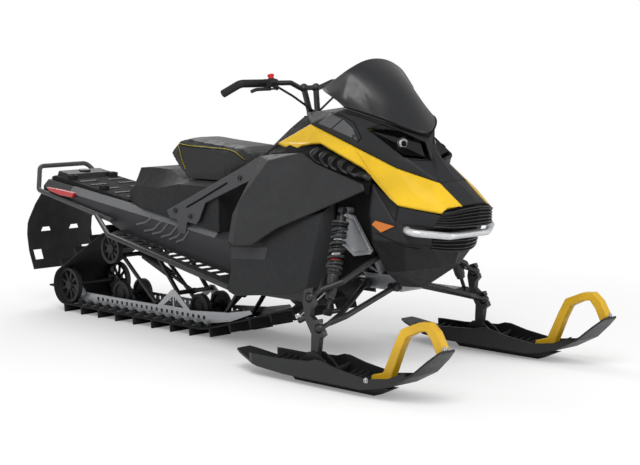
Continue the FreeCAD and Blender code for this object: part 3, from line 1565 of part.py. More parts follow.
# Engine: a plain block behind the cowl
engine = doc.addObject("Part::Box", "engine_block")
bind(engine, Length=S.engine_length, Width=S.engine_width, Height=S.engine_height)
put(engine, (S.engine_rear_x, -S.engine_width / 2, S.bulkhead_high_z + S.running_gap))
node(engine, "engine")


# Steering directions: the post and both kingpins lean back by the caster angle
caster_sine = math.sin(math.radians(S.caster.mm))
caster_cosine = math.cos(math.radians(S.caster.mm))
steering_axis = Vector(-caster_sine, 0, caster_cosine)
rearward = Vector(-caster_cosine, 0, -caster_sine)


def on_axis(foot, height):
    """The point of a leaning axis through the foot, at a height."""
    return foot + steering_axis * ((height - foot.z) / caster_cosine)


kingpin_foot = vector(S.kingpin_x, -S.ski_stance / 2, S.kingpin_z)
lower_ball = kingpin_foot
upper_ball = kingpin_foot + steering_axis * S.kingpin_span.mm
post_top = vector(S.post_x, ZERO, S.post_z)


# Bulkhead: the casting between the front arms, with the steering post's lower bearing behind it
def make_bulkhead():
    body = new_body("bulkhead_box")
    low = S.bulkhead_low_z
    high = S.bulkhead_high_z
    wall = S.bulkhead_side_wall
    narrow = S.lower_arm_inner_half - S.arm_boss_radius - S.running_gap
    wide = S.upper_arm_inner_half - S.arm_boss_radius - S.running_gap
    neck = S.lower_arm_inner_z + S.arm_boss_radius * 2
    shoulder = S.upper_arm_inner_z - S.arm_boss_radius * 2
    right = [(-narrow, low), (-narrow, neck), (-wide, shoulder), (-wide, high)]
    section = right + [(-y, z) for y, z in reversed(right)]
    profile = sketch(body, "bulkhead_section", "YZ_Plane", [section], S.bulkhead_rear_x)
    pad(body, profile, S.bulkhead_length)
    rear = S.bulkhead_rear_x + wall
    front = S.bulkhead_rear_x + S.bulkhead_length - wall
    middle = (rear + front) / 2
    windows = [
        [(rear, neck + wall), (middle - wall / 2, neck + wall), (rear, high - wall)],
        [(middle + wall / 2, neck + wall), (front, neck + wall), (front, high - wall)],
        [(middle, neck + wall * 2), (front - wall * 2, high - wall), (rear + wall * 2, high - wall)],
    ]
    pocket(body, sketch(body, "bulkhead_windows", "XZ_Plane", windows), wide * 2 + S.cut_overrun)
    return body


def make_post_bearing():
    """A ring round the post, and the plate that carries it on the bulkhead."""
    centre = on_axis(post_top, S.bearing_z.mm)
    start = centre - steering_axis * (S.bearing_length.mm / 2)
    ring = Part.makeCylinder(S.bearing_radius.mm, S.bearing_length.mm, start, steering_axis)
    plate = box_between(
        vector(centre.x, -S.bearing_radius * 0.6, S.bearing_z - S.bearing_length / 3),
        vector(S.bulkhead_rear_x + S.fuse_sink, S.bearing_radius * 0.6, S.bearing_z + S.bearing_length / 3))
    bore = Part.makeCylinder(S.post_radius.mm + S.running_gap.mm, S.bearing_length.mm * 3,
                             centre - steering_axis * (S.bearing_length.mm * 1.5), steering_axis)
    return ring.fuse(plate).cut(bore)


def make_bulkhead_rail():
    """A bar from the tunnel's front edge to the casting."""
    outer = S.upper_arm_inner_half - S.arm_boss_radius - S.running_gap
    inner = outer - S.bulkhead_side_wall * 2
    low = S.bulkhead_high_z - S.bulkhead_side_wall * 3
    return box_between(vector(S.tunnel_front_x + S.running_gap, -outer, low),
                       vector(S.bulkhead_rear_x + S.fuse_sink, -inner, S.bulkhead_high_z))


shock_top = vector(S.shock_top_x, -S.shock_top_half, S.shock_top_z)
shock_foot = vector(S.shock_low_x, -S.shock_low_half, S.shock_low_z)


def make_shock_tower():
    """A bent tube from the casting, round the engine, up to the shock absorber's top eye."""
    root_z = S.bulkhead_high_z - S.bulkhead_side_wall * 1.5
    reach = (S.eye_radius + S.running_gap).mm
    points = [
        vector(S.shock_top_x, -S.lower_arm_inner_half, root_z),
        vector(S.shock_top_x, -S.tower_half, root_z),
        vector(S.shock_top_x, -S.tower_half, S.shock_top_z),
        shock_top + Vector(0, reach, 0),
    ]
    return tube(points, S.arm_tube_radius, S.tower_bend)


right_rails = [make_bulkhead_rail(), make_shock_tower()]
left_rails = [piece.mirror(Vector(0, 0, 0), Vector(0, 1, 0)) for piece in right_rails]
bulkhead_frame = shaped("bulkhead_frame", Part.makeCompound(right_rails + left_rails))
post_bearing = shaped("post_bearing", make_post_bearing())
node(join("bulkhead_joined", [make_bulkhead(), post_bearing, bulkhead_frame]), "bulkhead")


# Front arms: an upper and a lower two-legged arm on each side, each ending in a ball
def arm_knuckle(ball, inners):
    """Where an arm's stub meets its two legs."""
    middle = (inners[0] + inners[1]) * 0.5
    return ball + (Vector(ball.x, middle.y, middle.z) - ball).normalize() * S.stub_length.mm


def make_arm(ball, elbows, inners):
    """A stub from the ball, and two legs that run by their elbows to bosses on the bulkhead."""
    knuckle = arm_knuckle(ball, inners)
    pieces = [Part.makeSphere(S.ball_radius.mm, ball), rod(ball, knuckle, S.stub_radius)]
    for elbow, inner in zip(elbows, inners):
        pieces.append(rod(knuckle, elbow, S.arm_tube_radius))
        pieces.append(Part.makeSphere(S.arm_tube_radius.mm, elbow))
        pieces.append(rod(elbow, inner, S.arm_tube_radius))
        start = inner - Vector(S.arm_boss_length.mm / 2, 0, 0)
        pieces.append(Part.makeCylinder(S.arm_boss_radius.mm, S.arm_boss_length.mm, start, Vector(1, 0, 0)))
    pieces.append(Part.makeSphere(S.arm_tube_radius.mm, knuckle))
    return pieces[0].multiFuse(pieces[1:])


def arm_elbow(ball, inner, spread, half):
    """A point of the arm's plane at a distance from the middle, spread fore or aft of the ball."""
    share = (-half - ball.y) / (inner.y - ball.y)
    return Vector(ball.x + spread, -half, ball.z + (inner.z - ball.z) * share)


lower_front = vector(S.lower_arm_front_x, -S.lower_arm_inner_half, S.lower_arm_inner_z)
lower_rear = vector(S.lower_arm_rear_x, -S.lower_arm_inner_half, S.lower_arm_inner_z)
upper_front = vector(S.upper_arm_front_x, -S.upper_arm_inner_half, S.upper_arm_inner_z)
upper_rear = vector(S.upper_arm_rear_x, -S.upper_arm_inner_half, S.upper_arm_inner_z)
lower_elbows = [arm_elbow(lower_ball, inner, side * S.upper_spread.mm / 3, S.upper_spread_half.mm)
                for inner, side in ((lower_front, 1), (lower_rear, -1))]
upper_elbows = [arm_elbow(upper_ball, inner, side * S.upper_spread.mm, S.upper_spread_half.mm)
                for inner, side in ((upper_front, 1), (upper_rear, -1))]
leg_share = (lower_elbows[1].x - shock_foot.x) / (lower_elbows[1].x - lower_rear.x)
bracket_root = lower_elbows[1] + (lower_rear - lower_elbows[1]) * leg_share
shock_seat = shock_foot + (bracket_root - shock_foot).normalize() * (S.eye_radius + S.running_gap).mm
shock_bracket = rod(bracket_root, shock_seat, S.stub_radius)
lower_arm = make_arm(lower_ball, lower_elbows, (lower_front, lower_rear)).fuse(shock_bracket)
upper_arm = make_arm(upper_ball, upper_elbows, (upper_front, upper_rear))
node(pair("upper_arms_pair", shaped("upper_arm_right", upper_arm)), "upper_arms")
node(pair("lower_arms_pair", shaped("lower_arm_right", lower_arm)), "lower_arms")


# Front shock absorbers, each with a coil spring between two seats round its body
def make_spring(top, foot, low_share, high_share):
    """The coil, and the two seats that hold it, at shares of the way from top to foot."""
    along = (foot - top).normalize()
    seat_radius = S.spring_radius.mm + S.spring_wire_radius.mm
    high = top + (foot - top) * high_share
    low = top + (foot - top) * low_share
    thickness = S.spring_seat_height.mm
    seats = [Part.makeCylinder(seat_radius, thickness, high - along * thickness, along),
             Part.makeCylinder(seat_radius, thickness, low, along)]
    clear = S.spring_wire_radius.mm + S.running_gap.mm
    height = (low - high).Length - 2 * clear
    coil = Part.makeHelix(height / S.spring_turns.mm, height, S.spring_radius.mm)
    ring = Part.Circle(Vector(S.spring_radius.mm, 0, 0), Vector(0, 1, 0), S.spring_wire_radius.mm)
    wire = Part.Wire(coil).makePipeShell([Part.Wire([ring.toShape()])], True, True)
    turn = FreeCAD.Rotation(Vector(0, 0, 1), along)
    wire.Placement = FreeCAD.Placement(high + along * clear, turn)
    return seats, wire


shock_pieces = make_shock(shock_top, shock_foot, S.shock_body_radius, 0.72, Vector(1, 0, 0))
spring_seats, spring = make_spring(shock_top, shock_foot, 0.6, 0.16)
front_shock = shock_pieces[0].multiFuse(shock_pieces[1:] + spring_seats).removeSplitter()
right_shock = shaped("front_shock_right", Part.makeCompound([front_shock, spring]))
node(pair("front_shocks_pair", right_shock), "front_shocks")


# Spindles: the bowed leg between the two ball joints and the ski bolt, with its steering arm
spindle_shares = (
    (-0.12, 1.26), (-0.12, 0.74), (0.08, 0.66), (0.19, 0.48), (0.08, 0.3), (-0.12, 0.26),
    (-0.12, -0.26), (0.1, -0.3), (0.42, -0.8), (0.68, -0.66), (0.37, -0.05), (0.45, 0.4),
    (0.33, 0.95), (0.1, 1.28),
)


def make_spindle():
    half = Vector(0, S.spindle_width.mm / 2, 0)
    span = S.kingpin_span.mm
    outline = [kingpin_foot + rearward * (span * back) + steering_axis * (span * up) - half
               for back, up in spindle_shares]
    leg = facet(outline).extrude(half * 2)
    foot = vector(S.ski_bolt_x, -S.ski_stance / 2, S.ski_bolt_z)
    foot_boss = Part.makeCylinder(S.spindle_foot_radius.mm, S.spindle_width.mm, foot - half, Vector(0, 1, 0))
    arm_root = on_axis(kingpin_foot, S.tie_ball_z.mm) + rearward * (span * 0.3)
    arm_end = on_axis(kingpin_foot, S.tie_ball_z.mm) + rearward * S.steering_arm.mm
    arm = rod(arm_root, arm_end, S.ball_stud_radius)
    solid = leg.multiFuse([foot_boss, arm])
    gap = S.running_gap.mm
    bores = [(upper_ball, S.ball_radius), (lower_ball, S.ball_radius), (foot, S.ski_bolt_radius)]
    for centre, radius in bores:
        start = centre - half * 2
        solid = solid.cut(Part.makeCylinder(radius.mm + gap, S.spindle_width.mm * 2, start, Vector(0, 1, 0)))
    for ball, inners in ((upper_ball, (upper_front, upper_rear)), (lower_ball, (lower_front, lower_rear))):
        knuckle = arm_knuckle(ball, inners)
        throat = S.stub_radius * 1.3
        solid = solid.cut(rod(ball, knuckle, throat, throat + S.stub_length * 0.62))
    return solid.removeSplitter()


right_spindle = shaped("spindle_right", make_spindle())
node(right_spindle, "spindle_right")
node(mirrored(right_spindle, "spindle_left"), "spindle_left")


# Tie rods between the steering arms and the pitman arm, with an eye above each ball stud
def make_tie_rod():
    outer = on_axis(kingpin_foot, S.tie_ball_z.mm) + rearward * S.steering_arm.mm
    post_foot = on_axis(post_top, S.pitman_ball_z.mm)
    inner = post_foot + rearward * S.steering_arm.mm + Vector(0, -S.pitman_ball_half.mm, 0)
    eye_half = steering_axis * S.tie_rod_radius.mm
    lift = steering_axis * (S.ball_stud_radius.mm + S.tie_rod_radius.mm + S.running_gap.mm)
    start = inner + lift
    end = outer + lift
    along = (end - start).normalize()
    bar = rod(start + along * (S.ball_stud_radius.mm * 0.9), end, S.tie_rod_radius)
    eyes = [Part.makeCylinder(S.ball_stud_radius.mm, 2 * S.tie_rod_radius.mm, spot - eye_half, steering_axis)
            for spot in (start, end)]
    return bar.multiFuse(eyes).removeSplitter()


right_tie_rod = shaped("tie_rod_right", make_tie_rod())
node(right_tie_rod, "tie_rod_right")
node(mirrored(right_tie_rod, "tie_rod_left"), "tie_rod_left")


# Skis: a turned-up sole with a keel, side ribs and a saddle for the spindle
ski_sole_shares = ((0.0, 0.24), (0.16, 0.05), (0.3, 0.0), (0.68, 0.0), (0.8, 0.14), (0.9, 0.42), (1.0, 0.9))
ski_rim_shares = ((0.02, 0.25), (0.16, 0.06), (0.3, 0.01), (0.68, 0.01), (0.8, 0.15), (0.9, 0.44),
                  (0.98, 0.83), (0.98, 0.93), (0.9, 0.55), (0.8, 0.31), (0.7, 0.23), (0.56, 0.33),
                  (0.485, 0.42), (0.455, 0.42), (0.42, 0.36), (0.25, 0.3), (0.03, 0.3))
ski_saddle_shares = ((-0.4, 0.05), (-0.22, 0.7), (-0.08, 1.0), (0.1, 1.0), (0.28, 0.75), (0.6, 0.05))
ski_plan_shares = ((0.0, 0.42), (0.03, 0.6), (0.13, 1.0), (0.76, 1.0), (0.88, 0.92), (0.96, 0.74),
                   (1.0, 0.5))


def make_ski():
    """A turned-up sole with a keel below, a rim along each side and two saddle walls."""
    length = S.front_reach - S.ski_tail_x
    tail = S.ski_tail_x
    keel = S.ski_keel_height
    middle = S.ski_stance / 2

    def heights(shares):
        return share_outline(tail, length, keel, S.ski_tip_rise, shares)

    body = new_body("ski_sole")
    lower = heights(ski_sole_shares)
    upper = [(x, z + S.ski_sole) for x, z in reversed(lower)]
    pad(body, sketch(body, "ski_side", "XZ_Plane", [lower + upper], middle), S.ski_width, midplane=True)
    keel_outline = [(tail + length * 0.26, keel + S.ski_sole / 2), (tail + length * 0.3, ZERO),
                    (tail + length * 0.69, ZERO), (tail + length * 0.77, keel + S.ski_sole),
                    (tail + length * 0.68, keel + S.ski_sole / 2)]
    pad(body, sketch(body, "ski_keel", "XZ_Plane", [keel_outline], middle), S.ski_keel_width, midplane=True)
    rim_place = (S.ski_width - S.ski_rim) / 2
    saddle_place = (S.spindle_width + S.ski_saddle_wall) / 2 + S.ski_saddle_gap
    saddle_outline = share_outline(S.ski_bolt_x, S.ski_saddle_length, keel,
                                   S.ski_saddle_height, ski_saddle_shares)
    for side, hand in ((-1, "in"), (1, "out")):
        rim_y = middle + rim_place * side
        rim = sketch(body, f"ski_rim_{hand}", "XZ_Plane", [heights(ski_rim_shares)], rim_y)
        pad(body, rim, S.ski_rim, midplane=True)
        saddle_y = middle + saddle_place * side
        saddle = sketch(body, f"ski_saddle_{hand}", "XZ_Plane", [saddle_outline], saddle_y)
        pad(body, saddle, S.ski_saddle_wall, midplane=True)
    bolt = sketch(body, "ski_bolt", "XZ_Plane", [(S.ski_bolt_x, S.ski_bolt_z, S.ski_bolt_radius)], middle)
    pad(body, bolt, saddle_place * 2, midplane=True)
    half = S.ski_width / 2
    plan = [(tail + length * u, half * v - middle) for u, v in ski_plan_shares]
    plan += [(tail + length * u, -half * v - middle) for u, v in reversed(ski_plan_shares)]
    over = S.cut_overrun
    frame = box_outline(tail - over, S.front_reach + over, -middle - half - over, -middle + half + over)
    pocket(body, sketch(body, "ski_plan", "XY_Plane", [frame, plan]), S.hood_height)
    return body


right_ski = make_ski()
node(right_ski, "ski_right")
node(mirrored(right_ski, "ski_left"), "ski_left")


# Ski loops: the bright handles at the front of the skis
def make_ski_loop():
    shares = ((0.0, -0.085), (0.02, 0.06), (0.18, 0.13), (0.345, 0.62), (0.43, 0.84), (0.665, 0.98),
              (0.80, 1.0), (0.90, 0.88), (0.985, 0.66), (0.98, 0.61), (0.91, 0.51), (0.83, 0.74),
              (0.76, 0.86), (0.67, 0.84), (0.50, 0.72), (0.42, 0.50), (0.29, 0.06), (0.25, 0.0))
    ski_length = S.front_reach - S.ski_tail_x
    rear_x = S.ski_tail_x + ski_length * 2 / 3
    outline = share_outline(rear_x, S.front_reach - rear_x, S.loop_low_z,
                            S.loop_high_z - S.loop_low_z, shares)
    return slab("loop_band", "XZ_Plane", [outline], S.loop_width, S.ski_stance / 2)


right_loop = make_ski_loop()
node(right_loop, "ski_loop_right")
node(mirrored(right_loop, "ski_loop_left"), "ski_loop_left")


# Handlebar: the bent bar on its risers, the steering post and the pitman arm
def bar_points():
    """The bar's corners on the right-hand side, from the clamp to the hooked end."""
    return [
        vector(S.bar_rise_x - S.bar_radius, -S.clamp_half * 1.6, S.clamp_z),
        vector(S.bar_rise_x, -S.bar_rise_half, S.bar_rise_z),
        vector(S.bar_end_x, -S.bar_end_half, S.bar_end_z),
        vector(S.hook_x, -S.hook_half, S.hook_z),
    ]


def grip_line():
    """Where the grip starts on the bar, the bar's last bend and its end."""
    _, rise, end, hook = bar_points()
    return [end + (rise - end).normalize() * S.grip_length.mm, end, hook]


def make_handlebar():
    right = bar_points()
    points = list(reversed(right)) + [flip(point) for point in right]
    bar = tube(points, S.bar_radius, S.bar_bend * 0.6)
    pieces = []
    for side in (-1, 1):
        foot = post_top + Vector(0, side * S.clamp_half.mm * 0.6, 0)
        head = vector(S.bar_rise_x - S.bar_radius, side * S.clamp_half, S.clamp_z)
        pieces.append(rod(foot, head, S.riser_radius))
        pieces.append(Part.makeSphere(S.riser_radius.mm * 1.5, head))
    post_foot = on_axis(post_top, S.pitman_ball_z.mm)
    post = rod(post_foot, post_top + steering_axis * S.post_radius.mm, S.post_radius)
    arm_end = post_foot + rearward * S.steering_arm.mm
    arm = rod(post_foot, arm_end, S.post_radius, S.ball_stud_radius)
    reach = Vector(0, S.pitman_ball_half.mm, 0)
    cross = rod(arm_end - reach, arm_end + reach, S.ball_stud_radius)
    return bar.multiFuse(pieces + [post, arm, cross]).removeSplitter()


node(shaped("handlebar", make_handlebar()), "handlebar")


# Grips: sleeves over the bar's ends, closed at the hook
def make_grip():
    start, end, hook = grip_line()
    along = (hook - end).normalize()
    sleeve = tube([start, end, hook + along * S.grip_radius.mm], S.grip_radius, S.bar_bend * 0.6)
    core = tube([start + (start - end).normalize() * S.cut_overrun.mm, end, hook + along * S.running_gap.mm],
                S.bar_radius + S.running_gap, S.bar_bend * 0.6)
    return sleeve.cut(core)


node(pair("grips_pair", shaped("grip_right", make_grip())), "grips")


# Controls: a clamped block with its lever on each side, inboard of the grip
def make_control():
    start, end, _ = grip_line()
    inboard = (start - end).normalize()
    near = start + inboard * S.running_gap.mm * 2
    block = rod(near, near + inboard * S.control_length.mm, S.control_height / 2)
    bore = rod(near - inboard * S.cut_overrun.mm, near + inboard * S.control_length.mm * 2,
               S.bar_radius + S.running_gap)
    ahead = Vector(S.grip_radius.mm * 2.6, 0, -S.grip_radius.mm * 1.4)
    pivot = near + inboard * S.control_length.mm * 0.5 + ahead
    lever = rod(pivot, start + (end - start) * 0.7 + ahead, S.lever_thickness / 2)
    neck = rod(near + inboard * S.control_length.mm * 0.5, pivot, S.lever_thickness)
    return block.multiFuse([neck, lever]).cut(bore).removeSplitter()


node(pair("controls_pair", shaped("control_right", make_control())), "controls")


# Cables from the controls to the post, and down beside it through the console
def make_cable():
    start, end, _ = grip_line()
    inboard = (start - end).normalize()
    root = start + inboard * (S.control_length + S.cable_radius).mm
    below = Vector(0, 0, -(S.bar_radius + S.cable_radius + S.running_gap).mm)
    ahead = rearward * -((S.post_radius + S.cable_radius) * 0.95).mm
    beside = ahead + Vector(0, -S.post_radius.mm / 2, 0)
    points = [
        root + below,
        root + below + inboard * S.control_length.mm + Vector(S.cable_dip.mm / 2, 0, -S.cable_dip.mm),
        on_axis(post_top, S.post_z.mm) + beside,
        on_axis(post_top, S.cable_end_z.mm) + beside,
    ]
    return tube(points, S.cable_radius, S.cable_bend)


node(pair("cables_pair", shaped("cable_right", make_cable())), "handlebar_cables")


# Check every object, then write each node
def check_document():
    doc.recompute()
    for part in doc.Objects:
        if "Invalid" in part.State or "Error" in part.State:
            raise RuntimeError(f"{part.Label} failed: {part.State}")
    for part in nodes:
        if part.Shape.isNull() or not part.Shape.isValid():
            raise RuntimeError(f"{part.Label} has no valid shape")
        if not part.Shape.Solids:
            raise RuntimeError(f"{part.Label} has no solid")


check_document()
os.makedirs("parts", exist_ok=True)
for part in nodes:
    part.Shape.exportStep(f"parts/{part.Label}.step")
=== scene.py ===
import math

import bpy
import bmesh
from mathutils import Matrix, Vector
from mathutils.bvhtree import BVHTree


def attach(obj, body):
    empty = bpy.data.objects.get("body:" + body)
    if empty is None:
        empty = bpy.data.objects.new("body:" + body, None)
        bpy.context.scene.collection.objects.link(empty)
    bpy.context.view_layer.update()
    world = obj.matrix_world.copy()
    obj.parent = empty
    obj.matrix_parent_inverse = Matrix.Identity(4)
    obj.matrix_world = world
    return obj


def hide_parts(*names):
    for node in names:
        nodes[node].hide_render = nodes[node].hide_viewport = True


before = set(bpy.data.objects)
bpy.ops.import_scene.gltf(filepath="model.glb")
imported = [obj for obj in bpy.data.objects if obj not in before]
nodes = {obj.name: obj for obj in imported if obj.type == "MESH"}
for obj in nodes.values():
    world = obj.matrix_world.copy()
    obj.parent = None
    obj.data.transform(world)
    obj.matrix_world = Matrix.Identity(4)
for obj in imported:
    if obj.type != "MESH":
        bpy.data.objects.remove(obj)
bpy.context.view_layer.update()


# Node trees: short calls for the shader nodes that the materials share
class Tree:
    """The nodes of a material or world, and short calls that add to them."""

    def __init__(self, owner, shader="Principled BSDF"):
        owner.use_nodes = True
        self.owner = owner
        self.nodes = owner.node_tree.nodes
        self.links = owner.node_tree.links
        self.shader = self.nodes[shader]

    def feed(self, socket, value):
        """Links a socket to another node's output, or gives it a plain value."""
        if hasattr(value, "is_linked"):
            self.links.new(value, socket)
        else:
            socket.default_value = value

    def add(self, kind, **inputs):
        node = self.nodes.new(kind)
        for key, value in inputs.items():
            name = int(key[1:]) if key[1:].isdigit() else key.replace("_", " ")
            self.feed(node.inputs[name], value)
        return node

    def set(self, **values):
        for key, value in values.items():
            self.feed(self.shader.inputs[key.replace("_", " ")], value)

    def place(self):
        return self.add("ShaderNodeTexCoord").outputs["Object"]

    def noise(self, scale, detail, stretch=(1, 1, 1)):
        place = self.add("ShaderNodeMapping", Vector=self.place(), Scale=stretch).outputs["Vector"]
        return self.add("ShaderNodeTexNoise", Vector=place, Scale=scale, Detail=detail).outputs["Fac"]

    def cells(self, scale):
        return self.add("ShaderNodeTexVoronoi", Vector=self.place(), Scale=scale).outputs["Distance"]

    def ramp(self, factor, stops):
        made = self.add("ShaderNodeValToRGB", Fac=factor)
        while len(made.color_ramp.elements) < len(stops):
            made.color_ramp.elements.new(0.5)
        for element, (position, value) in zip(made.color_ramp.elements, stops):
            colour = value if isinstance(value, tuple) else (value, value, value)
            element.position = position
            element.color = (*colour, 1)
        return made.outputs["Color"]

    def mix(self, factor, first, second):
        made = self.nodes.new("ShaderNodeMix")
        made.data_type = "RGBA"
        for socket, value in zip((made.inputs[0], made.inputs[6], made.inputs[7]), (factor, first, second)):
            self.feed(socket, (*value, 1) if isinstance(value, tuple) else value)
        return made.outputs[2]

    def math(self, operation, first, second=0.0):
        made = self.nodes.new("ShaderNodeMath")
        made.operation = operation
        for socket, value in zip(made.inputs, (first, second)):
            self.feed(socket, value)
        return made.outputs["Value"]

    def bump(self, height, strength, distance, rounding=0.0):
        """Fine relief, on normals that are rounded over the creases where rounding is a radius."""
        made = self.add("ShaderNodeBump", Height=height, Strength=strength, Distance=distance)
        if rounding:
            rounded = self.add("ShaderNodeBevel", Radius=rounding)
            self.links.new(rounded.outputs["Normal"], made.inputs["Normal"])
        self.set(Normal=made.outputs["Normal"])

    def edge_wear(self, amount):
        """More on worn outer edges, from the mesh's pointiness."""
        point = self.add("ShaderNodeNewGeometry").outputs["Pointiness"]
        return self.math("MULTIPLY", self.ramp(point, ((0.52, 0.0), (0.62, 1.0))), amount)


def scaled(colour, share, lift=0.0):
    """A paler or darker colour."""
    return tuple(min(1, part * share + lift) for part in colour)


def new_tree(name):
    return Tree(bpy.data.materials.new(name))


def plastic(name, colour, roughness, grain, relief, coat, wear, rounding=0.0, shine=0.3):
    """Moulded plastic with a fine grain, cloudy roughness and slightly paler edges."""
    tree = new_tree(name)
    tint = tree.ramp(tree.noise(7, 4), ((0.3, scaled(colour, 0.88)), (0.7, scaled(colour, 1.1))))
    tree.set(Base_Color=tree.mix(tree.edge_wear(wear), tint, scaled(colour, 1.3, 0.02)))
    tree.set(Roughness=tree.ramp(tree.noise(40, 5), ((0.3, roughness * 0.88), (0.7, roughness * 1.14))))
    tree.set(Coat_Weight=coat, Coat_Roughness=0.08, Specular_IOR_Level=shine)
    tree.bump(tree.noise(grain, 2), relief, 0.0006, rounding)
    return tree.owner


def metal(name, colour, roughness, brushed, scratch, metallic=1.0):
    """Metal with drawn or cast grain and a few brighter scuffs."""
    tree = new_tree(name)
    grain = tree.noise(220, 4, brushed)
    base = tree.ramp(grain, ((0.3, scaled(colour, 0.78)), (0.7, colour)))
    tree.set(Base_Color=tree.mix(tree.edge_wear(scratch), base, scaled(colour, 1.25, 0.05)))
    tree.set(Metallic=metallic)
    tree.set(Roughness=tree.ramp(grain, ((0.3, roughness * 0.75), (0.7, roughness * 1.25))))
    tree.bump(grain, 0.12, 0.0004)
    return tree.owner


def rubber(name, colour, roughness, dust):
    """Rubber with a pebbled skin and a little dry dust."""
    tree = new_tree(name)
    cloud = tree.ramp(tree.noise(14, 6), ((0.45, 0.0), (0.75, 1.0)))
    tree.set(Base_Color=tree.mix(tree.math("MULTIPLY", cloud, dust), colour, scaled(colour, 1.0, 0.05)))
    tree.set(Roughness=roughness, Specular_IOR_Level=0.35)
    tree.bump(tree.cells(900), 0.18, 0.0006)
    return tree.owner


def lens(name, colour):
    """A lamp cover: glossy, with fine moulded ridges."""
    tree = new_tree(name)
    tree.set(Base_Color=(*colour, 1), Roughness=0.12, Coat_Weight=0.8, Coat_Roughness=0.03)
    wave = tree.add("ShaderNodeTexWave", Vector=tree.place(), Scale=220)
    tree.bump(wave.outputs["Fac"], 0.25, 0.001)
    return tree.owner


def seat_vinyl(name, colour):
    """Grained vinyl: pebbled, slightly clouded, with a soft sheen."""
    tree = new_tree(name)
    cloud = tree.noise(9, 5)
    tint = tree.ramp(cloud, ((0.3, scaled(colour, 0.85)), (0.7, scaled(colour, 1.2))))
    tree.set(Base_Color=tint, Roughness=tree.ramp(cloud, ((0.3, 0.46), (0.7, 0.58))))
    tree.set(Specular_IOR_Level=0.35, Sheen_Weight=0.06, Sheen_Roughness=0.5)
    tree.bump(tree.math("ADD", tree.cells(420), tree.noise(160, 4)), 0.22, 0.0005)
    return tree.owner


def vent_mesh(name, colour):
    """A pressed mesh: small dark holes in a grey sheet."""
    tree = new_tree(name)
    holes = tree.cells(210)
    tree.set(Base_Color=tree.ramp(holes, ((0.18, scaled(colour, 0.35)), (0.34, colour))))
    tree.set(Roughness=0.6, Specular_IOR_Level=0.3)
    tree.bump(holes, 0.35, 0.0012)
    return tree.owner


# Every finish, by the function that makes it
finishes = {
    # Each: colour, roughness, grain's scale and relief, coat, wear, rounding over creases, shine
    plastic: {
        "yellow": ((0.76, 0.475, 0.012), 0.36, 1500, 0.03, 0.2, 0.1, 0.01, 0.32),
        "yellow_loop": ((0.66, 0.385, 0.01), 0.42, 900, 0.08, 0.1, 0.1, 0.004, 0.4),
        "body": ((0.016, 0.0165, 0.018), 0.5, 1200, 0.08, 0.0, 0.15, 0.014, 0.26),
        "side": ((0.019, 0.0195, 0.021), 0.52, 1200, 0.1, 0.0, 0.15, 0.012, 0.34),
        "black_panel": ((0.0125, 0.013, 0.0145), 0.56, 1100, 0.16, 0.0, 0.2, 0.004),
        "black_smooth": ((0.011, 0.0112, 0.0125), 0.4, 1500, 0.05, 0.05, 0.25, 0.004),
        "black_gloss": ((0.008, 0.008, 0.009), 0.25, 1500, 0.02, 0.3, 0.2),
        # Deepest black: the black of seams and the screen's gasket, and painted shade on the sheets and
        # strips that stand for shadowed gaps, openings and lamp backs
        "black_deep": ((0.0045, 0.0045, 0.005), 0.7, 1100, 0.1, 0.0, 0.05, 0.0, 0.1),
        # Paler grey for the lower panels' pads: painted light
        "grey_side": ((0.036, 0.037, 0.04), 0.6, 1200, 0.12, 0.0, 0.2, 0.006),
        "wheel": ((0.016, 0.0165, 0.018), 0.5, 900, 0.12, 0.0, 0.4, 0.002),
        "ski": ((0.0125, 0.013, 0.014), 0.44, 700, 0.1, 0.05, 0.4, 0.004),
        "deck": ((0.014, 0.0144, 0.0155), 0.8, 900, 0.2, 0.0, 0.2, 0.003, 0.16),
        "belly": ((0.0085, 0.0087, 0.0095), 0.55, 1100, 0.12, 0.0, 0.15, 0.006, 0.3),
        "lamp_glass": ((0.0035, 0.0036, 0.004), 0.34, 1500, 0.0, 0.0, 0.0, 0.0, 0.07),
        "screen": ((0.0115, 0.012, 0.0135), 0.34, 1500, 0.0, 0.15, 0.05, 0.0, 0.4),
        # Paler smoke for the windscreen's facets: painted light
        "screen_facet": ((0.0205, 0.021, 0.0225), 0.38, 1500, 0.0, 0.1, 0.05, 0.0, 0.4),
        "thread": ((0.62, 0.5, 0.02), 0.7, 1500, 0.2, 0.0, 0.0),
        "red_plastic": ((0.55, 0.012, 0.015), 0.4, 900, 0.06, 0.1, 0.1),
    },
    # Each: colour, roughness, dust
    rubber: {
        "rubber": ((0.009, 0.009, 0.0095), 0.78, 0.12),
        "flap": ((0.0125, 0.0125, 0.0135), 0.62, 0.2),
        "grip": ((0.009, 0.009, 0.0095), 0.66, 0.1),
    },
    # Each: colour, roughness, grain's stretch, scuffs, metallic
    metal: {
        "steel_black": ((0.014, 0.0145, 0.016), 0.42, (1, 1, 1), 0.35, 0.0),
        "steel_grey": ((0.05, 0.051, 0.055), 0.48, (1, 1, 1), 0.35, 0.0),
        # Pale grey for the tunnel's bevel strip and slashes: painted highlight
        "satin_grey": ((0.105, 0.107, 0.112), 0.5, (0.05, 1, 1), 0.3, 0.0),
        "tunnel": ((0.017, 0.0175, 0.02), 0.46, (0.05, 1, 1), 0.3, 0.0),
        "bumper": ((0.72, 0.73, 0.75), 0.4, (1, 0.05, 1), 0.3, 0.55),
        "rail": ((0.47, 0.48, 0.5), 0.4, (0.04, 1, 1), 0.4, 0.8),
        "cast": ((0.4, 0.41, 0.43), 0.5, (1, 1, 1), 0.5, 0.8),
        "steel": ((0.58, 0.59, 0.61), 0.28, (1, 1, 1), 0.4),
    },
    seat_vinyl: {
        "seat_cover": ((0.0105, 0.0108, 0.0118),),
    },
    vent_mesh: {
        "vent": ((0.105, 0.107, 0.112),),
    },
    lens: {
        "red": ((0.5, 0.01, 0.012),),
        "orange": ((0.6, 0.165, 0.014),),
    },
}
mats = {name: make(name, *values) for make, table in finishes.items() for name, values in table.items()}
